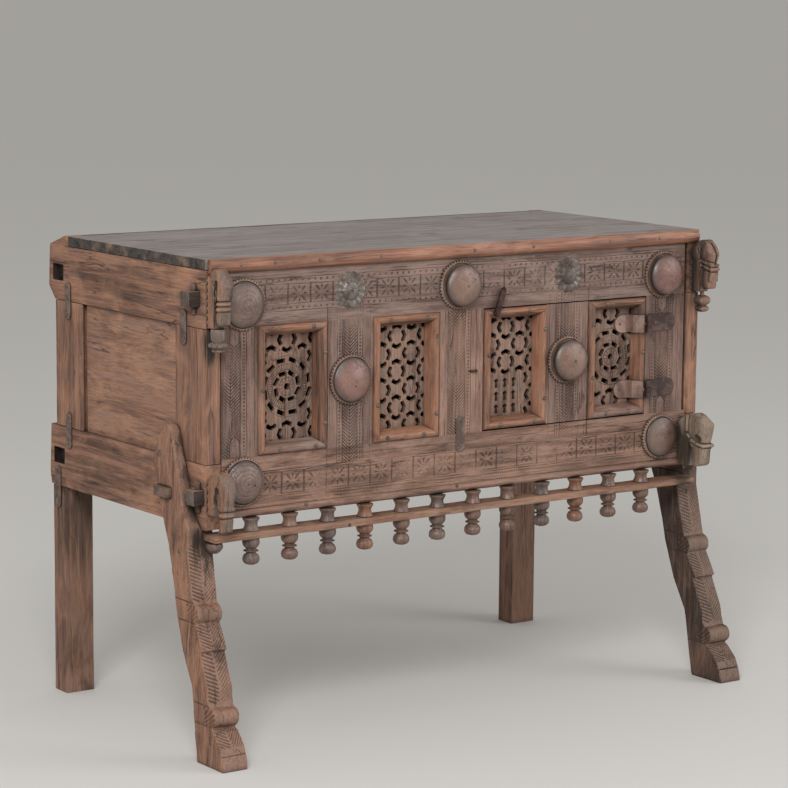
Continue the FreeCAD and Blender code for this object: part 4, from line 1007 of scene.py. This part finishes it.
def leg_cuts(skin):
    """Cuts of a leg, set out from the front edge of its own outline."""
    level_step = 4 * MM
    front_edge, flanks = {}, {}
    for vert in skin.verts:
        level = round(vert.co.z / level_step)
        front_edge[level] = min(vert.co.y, front_edge.get(level, 1.0))
        low, high = flanks.get(level, (1.0, -1.0))
        flanks[level] = (min(low, vert.co.x), max(high, vert.co.x))

    def cuts(co, normal):
        level = round(co.z / level_step)
        height = co.z / MM
        across = (co.x - sum(flanks[level]) / 2) / MM
        inset = (co.y - front_edge[level]) / MM
        in_band = any(low < height < high for low, high in LEG_BANDS)
        if abs(normal.x) > 0.75 and height < 372:
            share = max(groove(height - edge, 3) for band in LEG_BANDS for edge in band)
            if in_band:
                slant = (height + 0.7 * inset) % 8 - 4
                share = max(share, groove(slant, 4) if 3 < inset < 34 else 0)
            elif height > 28:
                share = max(share, groove(inset - 9, 3), 0.6 * fine_line(inset - 13.5))
        elif normal.y < -0.3 or (normal.y < 0 and normal.z > 0.5):
            share = groove(height - 25, 3.2)
            for low, high, pitch in LEG_CHEVRONS:
                if low < height < high:
                    slope, width = (0.45, 0.75) if across < 0 else (0.95, 0.5)
                    slant = (height - slope * abs(across)) % pitch - pitch / 2
                    share = max(share, groove(slant, width * pitch) if abs(across) > 2 else -0.4)
            if in_band:
                share = 0.25 * groove((across + 0.5 * height) % 7 - 3.5, 3.4)
        else:
            share = 0.0
        return share * (0.85 + 0.5 * noise.noise(co * 24))
    return cuts


for side, finish in (("left", leg_wood), ("right", dark_leg_wood)):
    node = "front_leg_" + side
    bm = fine_skin(bare_copy(node), LEG_GRID)
    soften(bm, 4)
    carve(bm, LEG_CUT, leg_cuts(bm))
    put(node + "_carved", bm, finish, "frame_wood", node, crease=60)

key_wood = old_wood(
    "grey key wood", GRAIN_X, main=(0.165, 0.104, 0.078), pale=(0.24, 0.16, 0.122),
    dark=(0.07, 0.045, 0.036), stain=0.6,
)
worn_timber("leg_keys", key_wood, step=12 * MM)
worn_timber("tusk_keys", key_wood, step=12 * MM)

# Brackets and pendants
# Horse heads sawn from thick board and rounded with a knife, with a mane along the wall edge, a
# bridle, eyes and nostrils. A small turned pendant hangs under each of the upper two.

GREY_FACE = (0.165, 0.13, 0.112)
bracket_wood = old_wood(
    "left bracket wood", GRAIN_Z, main=(0.29, 0.152, 0.092), pale=(0.38, 0.205, 0.125),
    dark=(0.12, 0.066, 0.046), carved=0.95, front=GREY_FACE,
)
# The upper right head and the pendant under it are painted dark on their flanks and lighter on what faces
# forward: painted shade on the flanks, with a painted shadow in the corner by the wall.
dark_bracket_wood = old_wood(
    "dark bracket wood", GRAIN_Z, main=(0.125, 0.075, 0.056), pale=(0.2, 0.118, 0.085),
    dark=(0.05, 0.032, 0.026), carved=0.95, soot_and_shade=[((0.518, -0.212, 0.76), (0.03, 0.028, 0.07), 0.9)],
    front=(0.31, 0.185, 0.135),
)
# The lower right head has a painted shadow low on its near part.
olive_bracket_wood = old_wood(
    "olive bracket wood", GRAIN_Z, main=(0.25, 0.184, 0.135), pale=(0.33, 0.252, 0.192),
    dark=(0.12, 0.085, 0.06), carved=0.9, soot_and_shade=[((0.494, -0.225, 0.425), (0.024, 0.04, 0.055), 0.85)],
)
HEAD_GRID, HEAD_CUT = 1.1 * MM, 2.2 * MM


def off_line(point, start, end):
    """Distance of a point from the straight line between two others, all as (reach, height)."""
    line = Vector(end) - Vector(start)
    offset = Vector(point) - Vector(start)
    along = max(0.0, min(1.0, offset.dot(line) / line.length_squared))
    return (offset - line * along).length


def rounded(bm, reaches, levels, share, both_sides):
    """Take the corners off a square stretch of a head, between two reaches from the front and two
    levels, towards a round section."""
    flanks = [vert.co.x for vert in bm.verts]
    middle_x, half_x = (min(flanks) + max(flanks)) / 2, (max(flanks) - min(flanks)) / 2
    middle, half = sum(reaches) / 2, (reaches[1] - reaches[0]) / 2
    for vert in bm.verts:
        level = min(vert.co.z / MM - levels[0], levels[1] - vert.co.z / MM)
        out = ((FACE - vert.co.y) / MM - middle) / half
        if level < 0 or abs(out) > 1.02 or (out < 0 and not both_sides):
            continue
        aside = (vert.co.x - middle_x) / half_x
        ease = share * min(1.0, level / 4)
        vert.co.x = middle_x + half_x * aside * math.sqrt(1 - ease * min(1.0, out * out) / 2)
        vert.co.y = FACE - MM * (middle + half * out * math.sqrt(1 - ease * aside * aside / 2))


def swollen(bm, reach, height, radius, rise, flanks=(-1, 1)):
    """Swell the flanks of a head about one point, as a cheek or a brow."""
    bm.normal_update()
    for vert in bm.verts:
        off = math.hypot((FACE - vert.co.y) / MM - reach, vert.co.z / MM - height) / radius
        if off < 1 and math.copysign(1, vert.normal.x) in flanks:
            vert.co.x += vert.normal.x * rise * (1 - off * off) * MM


def horse_cuts(cut_lines, cords, part_x=None):
    """Cuts of a horse head, set out as (reach from the front, height) in millimetres: cut lines as
    (start, end, width, share), raised cords as (start, end), a scalloped mane along the wall and,
    on one of them, a parting down the forehead."""
    def cuts(co, normal):
        place = ((FACE - co.y) / MM, co.z / MM)
        share = 0.0
        if abs(normal.x) > 0.4:
            share = max(
                groove(off_line(place, start, end), width) * deep for start, end, width, deep in cut_lines
            )
            if place[0] < 9:
                scallop = abs(math.sin(math.pi * place[1] / 11.5))
                share = max(share, 2 * groove(place[0] - 1 - 4 * scallop, 6))
        for start, end in cords:
            off = off_line(place, start, end)
            if off < 6:
                share = 0.9 * groove(off - 4.5, 3.4) - 0.9 * groove(off, 7)
        if part_x is not None and normal.y < -0.3 and 765 < place[1] < 806:
            share = max(share, 1.6 * groove(co.x / MM - part_x, 6))
        return share * (0.95 + 0.3 * noise.noise(co * 30))
    return cuts


def arched(bm, spring, reaches, drop):
    """Round the top of a head into an arch, above one level and between two reaches."""
    top = max(vert.co.z for vert in bm.verts) / MM
    for vert in bm.verts:
        height = vert.co.z / MM - spring
        if height > 0:
            out = ((FACE - vert.co.y) / MM - sum(reaches) / 2) / (reaches[1] - reaches[0]) * 2
            vert.co.z = (spring + height * (1 - drop * min(1.0, out * out) / (top - spring))) * MM


def horse_head(node, finish, stretches, cuts, swellings, arch, levels=None):
    """One head, with levels given as the heights that its ends were worn or drawn to."""
    bm = fine_skin(bare_copy(node), HEAD_GRID)
    for stretch in stretches:
        rounded(bm, *stretch)
    for swelling in swellings:
        swollen(bm, *swelling)
    arched(bm, *arch)
    soften(bm, 8)
    carve(bm, HEAD_CUT, cuts)
    if levels:
        low, high = (corner.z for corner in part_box(node))
        for vert in bm.verts:
            share = (vert.co.z - low) / (high - low)
            vert.co.z = (levels[0] + (levels[1] - levels[0]) * share) * MM
    put(node + "_carved", bm, finish, "ornament_wood", node, crease=60)


UPPER_ROUNDS = [((30, 48), (716, 772), 1.0, True), ((-12, 53), (764, 816), 0.9, False)]
UPPER_CUTS = [
    ((31, 790), (30, 770), 11, 3.0), ((30, 764), (28, 714), 7, 2.4), ((33, 722), (55, 722), 3, 0.7),
    ((6, 812), (14, 800), 8, 1.5), ((22, 792), (24, 786), 5, 0.8),
]
UPPER_BRIDLE = [((32, 756), (60, 757)), ((32, 748), (60, 748))]
UPPER_ARCH = (778, (-10, 56), 17)
INNER = (1,)
horse_head(
    "bracket_upper_left", bracket_wood, UPPER_ROUNDS, horse_cuts(UPPER_CUTS, UPPER_BRIDLE),
    [(40, 788, 24, 9, INNER), (41, 737, 18, 2)], UPPER_ARCH,
)
SLANTING_BRIDLE = [((28, 771), (60, 764)), ((28, 763), (60, 756))]
RIGHT_ROUNDS = [((30, 54), (716, 772), 1.0, True), ((-12, 62), (764, 812), 0.9, False)]
RIGHT_SWELLINGS = [(14, 786, 17, 3.5), (46, 788, 20, 5), (41, 737, 18, 2.5)]
horse_head(
    "bracket_upper_right", dark_bracket_wood, RIGHT_ROUNDS, horse_cuts(UPPER_CUTS, SLANTING_BRIDLE, 529),
    RIGHT_SWELLINGS, (778, (-14, 66), 14),
)
LOWER_ROUNDS = [((34, 62), (390, 424), 0.9, True), ((-8, 63), (424, 474), 0.6, False)]
LOWER_CUTS = [
    ((33, 446), (31, 430), 15, 3.4), ((36, 458), (23, 434), 4, 0.9), ((32, 418), (28, 400), 9, 3.0),
    ((44, 440), (44, 424), 4, 0.6),
]
horse_head(
    "bracket_lower_left", bracket_wood, LOWER_ROUNDS, horse_cuts(LOWER_CUTS, [((42, 415), (70, 417))]),
    [(46, 452, 22, 6, INNER)], (448, (-8, 68), 12), levels=(379, 479),
)
OLIVE_ROUNDS = [((38, 74), (394, 434), 0.8, True), ((-20, 86), (438, 500), 0.7, False)]
OLIVE_CUTS = [
    ((57, 452), (63, 449), 13, 1.7), ((37, 436), (36, 396), 4, 1.6), ((66, 465), (48, 447), 3, 0.6),
]
OLIVE_BRIDLE = [
    ((32, 488), (32, 454)), ((32, 454), (42, 444)), ((42, 444), (58, 439)), ((58, 439), (95, 434)),
]
horse_head(
    "bracket_lower_right", olive_bracket_wood, OLIVE_ROUNDS, horse_cuts(OLIVE_CUTS, OLIVE_BRIDLE),
    [(22, 470, 26, 3), (62, 470, 26, 3)], (462, (-18, 96), 12),
)

MUZZLE_PENDANT = [
    (0, 0), (11, 0), (12.4, 2), (12.6, 10), (11.8, 17), (10.4, 20), (10.2, 22), (14, 23), (17, 25),
    (17.2, 27.5), (15.4, 30), (10.4, 31), (9.6, 33), (10.8, 34.5), (10.6, 37), (9, 38), (0, 38),
]
DISC_PENDANT = [
    (0, 0), (4, 0), (3.6, 3), (4.6, 6), (9, 7.5), (14, 10), (15.6, 14), (15.4, 18), (13, 22.5), (9, 24.5),
    (8.4, 26), (11, 27), (13.4, 29.5), (13.4, 32), (11.5, 35), (7, 37), (0, 38),
]
DOWN = Vector((0, 0, -1))
low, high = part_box("bracket_pendants")
pendant_y = (low.y + high.y) / 2
reach = (high.y - low.y) / 2
grey_pendant_wood = old_wood(
    "grey pendant wood", GRAIN_Z, main=(0.2, 0.145, 0.12), pale=(0.3, 0.23, 0.195),
    dark=(0.1, 0.067, 0.054), dust=0.5
)
for x, section, name, finish, stood_for in (
    (low.x + reach, MUZZLE_PENDANT, "pendant_left_turned", grey_pendant_wood, ["bracket_pendants"]),
    (high.x - reach, DISC_PENDANT, "pendant_right_turned", dark_bracket_wood, []),
):
    section = [(radius * MM, drop * MM) for radius, drop in section]
    bm = turned(section, Vector((x, pendant_y, high.z)), DOWN, 40)
    wear(bm, 0.4 * MM, 9 * MM)
    put(name, bm, finish, "ornament_wood", *stood_for, crease=50)

# Gallery
# A slat runs below the sill on turned drops: a spool above it, and a cup, a ring and a flattened
# ball below. The wood is waxed and redder where the sun has not bleached it.

# A painted shade darkens the right end of the slat, in the dark corner under the lower right bracket.
slat_wood = old_wood(
    "gallery slat", GRAIN_X, main=(0.29, 0.155, 0.1), pale=(0.37, 0.22, 0.15), dark=(0.15, 0.08, 0.057),
    dust=0.4, soot_and_shade=[((0.497, -0.215, 0.365), (0.032, 0.06, 0.03), 0.9)],
)
bm = bare_copy("gallery_slat")
ease_edges(bm, 3 * MM)
slice_up(bm, 14 * MM)
slat_middle = sum(corner.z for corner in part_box("gallery_slat")) / 2
SLAT_THINNED, SLAT_WAVE = 0.74, 1.4 * MM
for vert in bm.verts:
    wave = SLAT_WAVE * noise.noise(Vector((12 * vert.co.x, 0, 3)))
    vert.co.z = slat_middle + SLAT_THINNED * (vert.co.z - slat_middle) + wave
wear(bm, 0.9 * MM, 30 * MM)
put("gallery_slat_hewn", bm, slat_wood, "ornament_wood", "gallery_slat")
SPOOL = [
    (0, 0), (14.5, 0), (15, 1.5), (14, 3.6), (11.8, 7), (11, 10.5), (11.8, 15), (13.8, 19), (14.6, 21),
    (8, 21),
]
DROP = [
    (8, 33.5), (14.6, 33.5), (15, 35), (14.2, 37), (14.9, 39), (15, 43), (13.6, 47.4), (10.4, 51),
    (8.6, 52.4), (8.6, 53.6), (12.6, 55.2), (13.2, 56), (12.4, 57), (8.2, 58.4), (8.6, 60.2),
    (12.4, 63), (14.4, 67), (14.9, 70.4), (14, 74.6), (10.8, 78), (6, 79.6), (0, 80),
]
STUB = [(0, 36), (13, 36), (14.6, 40), (14.2, 44), (11, 49), (6, 53), (0, 54)]
low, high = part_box("gallery_spindles")
spindle_y = (low.y + high.y) / 2
DROP_COUNT, DROP_PITCH, FIRST_DROP, STUB_X = 12, 76.5, -434.0, -505.0
places = [(STUB_X, STUB)]
places += [(FIRST_DROP + DROP_PITCH * index, SPOOL + DROP) for index in range(DROP_COUNT)]
DROP_TONES = {
    "grey": ((0.155, 0.1, 0.079), (0.23, 0.155, 0.122), (0.08, 0.05, 0.04), (0, 1, 3, 6, 9)),
    "brown": ((0.19, 0.104, 0.073), (0.28, 0.155, 0.105), (0.09, 0.052, 0.039), (2, 5, 7, 8, 11, 12)),
    "orange": ((0.27, 0.118, 0.066), (0.36, 0.17, 0.1), (0.13, 0.062, 0.04), (4, 10)),
}
for tone, (main, pale, dark, members) in DROP_TONES.items():
    finish = old_wood(f"{tone} turned drop", GRAIN_Z, main, pale, dark, dust=0.3, rough=0.36, shine=0.5)
    bm = bmesh.new()
    for x, section in (places[member] for member in members):
        section = [(radius * MM, drop * MM) for radius, drop in section]
        join_into(bm, turned(section, Vector((x * MM, spindle_y, high.z)), DOWN, 32))
    wear(bm, 0.5 * MM, 9 * MM)
    stood_for = ["gallery_spindles"] if tone == "grey" else []
    put(f"gallery_drops_{tone}", bm, finish, "ornament_wood", *stood_for, crease=50)

# Ironwork
# Hand-forged straps, rusted brown and rubbed at the edges: hinge straps bent over the mouldings and
# rolled round their pins, flat straps across the joints, a turning latch and a staple for a padlock.

strap_iron = worn_metal("forged strap iron", (0.2, 0.14, 0.115), (0.1, 0.066, 0.055), 0.3, 0.45, 45)
leaf_iron = worn_metal("browned leaf iron", (0.27, 0.168, 0.132), (0.13, 0.083, 0.068), 0.3, 0.4, 28)
leaf_tip_iron = worn_metal("rubbed leaf tip", (0.34, 0.22, 0.175), (0.24, 0.15, 0.117), 0.3, 0.4, 35)
stile_iron = worn_metal("dark stile iron", (0.11, 0.07, 0.062), (0.055, 0.036, 0.032), 0.3, 0.45, 40, 0.3)
dark_iron = worn_metal(
    "black latch iron", (0.075, 0.034, 0.028), (0.02, 0.012, 0.011), 0.2, 0.4, shine=0.25,
)
STRAP, STRAP_CORNER = 3 * MM, 7 * MM
UPPER_TIP = (379 * MM, 600 * MM)
KNUCKLE = 404 * MM


def forged(node, finish, body, edge=0.7 * MM, step=5 * MM, marks=()):
    bm = bare_copy(node)
    if node == "iron_straps":
        ends = [corner for corner in bm.edges if abs(corner.calc_length() - STRAP) < 0.05 * MM]
        bevelled(bm, ends, STRAP_CORNER, 5)
    ease_edges(bm, edge)
    slice_up(bm, step)
    wear(bm, 0.45 * MM, 8 * MM)
    put(node + "_forged", bm, finish, "iron", node, body=body, marks=marks)


def on_upper_tip(middle, normal):
    return middle.x < UPPER_TIP[0] and middle.z > UPPER_TIP[1]


forged("iron_straps", strap_iron, "cabinet", step=9 * MM)
forged("hinge_stile_straps", stile_iron, "cabinet")
# The knuckle ends of the door straps are painted near black: painted shade in the gap at the hinge.
knuckle_mark = (dark_iron, lambda middle, normal: middle.x > KNUCKLE)
forged("hinge_door_straps", leaf_iron, "door", marks=[(leaf_tip_iron, on_upper_tip), knuckle_mark])
forged("hinge_pins", strap_iron, "cabinet")
forged("latch_bar", dark_iron, "latch")
forged("latch_pin", dark_iron, "door")
forged("door_staple", dark_iron, "cabinet", edge=0.3 * MM)

# Nails
# Round-headed hand-made nails hold the nosing, the mouldings, the bosses and every strap. Rubbing
# keeps some of the heads bright.

nail_iron = worn_metal("rubbed nail head", (0.165, 0.132, 0.115), (0.075, 0.052, 0.044), 0.4, 0.34)
hole_shade = old_wood(
    "old nail hole", GRAIN_Z, main=(0.018, 0.013, 0.011), pale=(0.03, 0.022, 0.019),
    dark=(0.01, 0.008, 0.007), dust=0
)
LEFTWARD, RIGHTWARD = Vector((-1, 0, 0)), Vector((1, 0, 0))


def driven(bm, place, radius, rise=1.4 * MM, facing=FORWARD):
    """Drive one nail, its domed head half sunk in the surface."""
    turn = facing.to_track_quat("Z", "Y").to_matrix().to_4x4()
    head = Matrix.Translation(place) @ turn @ Matrix.Diagonal((radius, radius, rise, 1))
    bmesh.ops.create_uvsphere(bm, u_segments=10, v_segments=6, radius=1, matrix=head)


nails = {"cabinet": bmesh.new(), "door": bmesh.new()}
holes = bmesh.new()
low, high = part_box("top_nosing")
for x in (-459, -393, -304, -180, 17, 145, 318, 433):
    driven(nails["cabinet"], Vector((x * MM, low.y + 0.6 * MM, high.z - 11 * MM)), radius=3 * MM)
for x, y, z in ((-326, -213.6, 403), (-11, -213.4, 403.2), (-247, -228, 362)):
    driven(nails["cabinet"], Vector((x, y, z)) * MM, radius=3.4 * MM)
for x, y, z, width in ((-539.6, -93, 492.3, 6.5), (-546, -166, 339.6, 4)):
    driven(nails["cabinet"], Vector((x, y, z)) * MM, width * MM, 2.2 * MM, LEFTWARD)

PANE_NAILS = {
    "window_outer": {"top": (0.28, 0.78), "right": (0.21, 0.76), "bottom": (0.3, 0.82), "left": (0.5,)},
    "window_inner": {"top": (0.25, 0.79), "right": (0.81, 0.19), "bottom": (0.2, 0.75), "left": (0.3,)},
    "door_inner": {"top": (0.7,), "right": (0.8, 0.22), "bottom": (0.25, 0.8), "left": (0.62,)},
    "door_outer": {"top": (0.3,), "right": (0.53,), "bottom": (0.3, 0.7), "left": (0.35, 0.8)},
}
BEAD_MIDDLE = 7.2 * MM
for pane, body in PANES.items():
    low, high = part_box("moulding_" + pane)
    for side, shares in PANE_NAILS[pane].items():
        for share in shares:
            x, z = low.x + (high.x - low.x) * share, low.z + (high.z - low.z) * share
            x = {"left": low.x + BEAD_MIDDLE, "right": high.x - BEAD_MIDDLE}.get(side, x)
            z = {"bottom": low.z + BEAD_MIDDLE, "top": high.z - BEAD_MIDDLE}.get(side, z)
            driven(nails[body], Vector((x, low.y + 0.4 * MM, z)), radius=4 * MM, rise=1.8 * MM)

BOSS_HOLES = {"top_right": (5, 8), "bottom_right": (9, 6), "bottom_left": (13, -4), "window": (-1, -9)}
for place in BOSSES:
    low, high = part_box("boss_" + place)
    body = "door" if place == "door" else "cabinet"
    middle = Vector(((low.x + high.x) / 2, low.y + 0.6 * MM, (low.z + high.z) / 2))
    driven(nails[body], middle, radius=2.6 * MM)
    if place in BOSS_HOLES:
        across, up = BOSS_HOLES[place]
        sink = 0.5 * MM + 0.08 * MM * math.hypot(across, up)
        driven(holes, middle + Vector((across * MM, sink, up * MM)), radius=1.8 * MM, rise=0.9 * MM)
staple = sum(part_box("door_staple"), Vector()) / 2
staple_hole = Vector((staple.x - 6 * MM, FACE + 0.2 * MM, staple.z))
driven(holes, staple_hole, radius=4.5 * MM, rise=0.5 * MM)
low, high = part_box("rosettes")
for x in flower_places:
    driven(nails["cabinet"], Vector((x, low.y + 0.4 * MM, (low.z + high.z) / 2)), radius=3.2 * MM)

rear_stile = [corner.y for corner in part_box("side_rear_stile_left")]
rear_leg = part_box("rear_leg_left")[0].y
SIDE_STRAPS = [
    (sum(rear_stile) / 2, 680, 744), (FACE + 67 * MM, 680, 738), (sum(rear_stile) / 2, 449, 513),
    (rear_leg + 24 * MM, 337, 412),
]
low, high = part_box("iron_straps")
for y, bottom, top in SIDE_STRAPS:
    for z in (bottom + 8, (bottom + top) / 2 + 4, top - 8):
        driven(nails["cabinet"], Vector((low.x + 0.4 * MM, y, z * MM)), 2.4 * MM, facing=LEFTWARD)
        driven(nails["cabinet"], Vector((high.x - 0.4 * MM, y, z * MM)), 2.4 * MM, facing=RIGHTWARD)
for z in (474, 502, 516):
    driven(nails["cabinet"], Vector((-2.5 * MM, FACE - STRAP + 0.4 * MM, z * MM)), radius=2.6 * MM)
for z in (661, 541):
    driven(nails["door"], Vector((364 * MM, FACE + 11.9 * MM, z * MM)), radius=2.6 * MM)
    driven(nails["door"], Vector((403 * MM, FACE - 10.9 * MM, z * MM)), radius=3.2 * MM)
    driven(nails["cabinet"], Vector((436 * MM, FACE - STRAP + 0.4 * MM, z * MM)), radius=2.4 * MM)
    driven(nails["cabinet"], Vector((470 * MM, FACE - STRAP + 0.4 * MM, z * MM)), radius=2.8 * MM)
for body, bm in nails.items():
    put(f"nail_heads_{body}", bm, nail_iron, "iron", body=body, crease=80)
put("nail_holes", holes, hole_shade, "ornament_wood", crease=80)

# Stage
# A plain pale floor under two soft lamps and an even sky. The camera stands where the photograph's
# own edges place it.

floor_mesh = bmesh.new()
bmesh.ops.create_grid(floor_mesh, x_segments=1, y_segments=1, size=400)
mesh = bpy.data.meshes.new("floor")
floor_mesh.to_mesh(mesh)
floor_mesh.free()
floor = bpy.data.objects.new("floor", mesh)
bpy.context.scene.collection.objects.link(floor)
floor_finish = Finish("pale floor")
floor_finish.colour((0.62, 0.61, 0.59, 1), 0.8)
mesh.materials.append(floor_finish.material)

world = bpy.data.worlds.new("studio")
bpy.context.scene.world = world
world.use_nodes = True
sky = world.node_tree.nodes["Background"]
sky.inputs["Color"].default_value = (1.0, 0.98, 0.95, 1)
sky.inputs["Strength"].default_value = 0.55


def soft_light(name, place, target, size, power):
    lamp = bpy.data.lights.new(name, "AREA")
    lamp.size = size
    lamp.energy = power
    holder = bpy.data.objects.new(name, lamp)
    holder.location = place
    aim = Vector(target) - Vector(place)
    holder.rotation_euler = aim.to_track_quat("-Z", "Y").to_euler()
    bpy.context.scene.collection.objects.link(holder)


soft_light("key", (-3.2, -3.6, 3.6), (0, 0, 0.5), 2.2, 210)
soft_light("fill", (3.6, -3.4, 2.2), (0, 0, 0.5), 2.6, 70)

CAMERA_PLACE = (-2.957155, -4.200019, 1.311546)
YAW, PITCH, ROLL = (math.radians(angle) for angle in (35.179, 8.572, 0.468))
back = Vector((-math.sin(YAW) * math.cos(PITCH), -math.cos(YAW) * math.cos(PITCH), math.sin(PITCH)))
level_right = Vector((math.cos(YAW), -math.sin(YAW), 0))
level_up = back.cross(level_right)
right = math.cos(ROLL) * level_right + math.sin(ROLL) * level_up
up = math.cos(ROLL) * level_up - math.sin(ROLL) * level_right
camera_data = bpy.data.cameras.new("camera")
camera_data.sensor_width = 36
camera_data.lens = 132.0
camera = bpy.data.objects.new("camera", camera_data)
turn = Matrix((right, up, back)).transposed().to_4x4()
camera.matrix_world = Matrix.Translation(CAMERA_PLACE) @ turn
bpy.context.scene.collection.objects.link(camera)
bpy.context.scene.camera = camera
bpy.context.scene.view_settings.view_transform = "Standard"
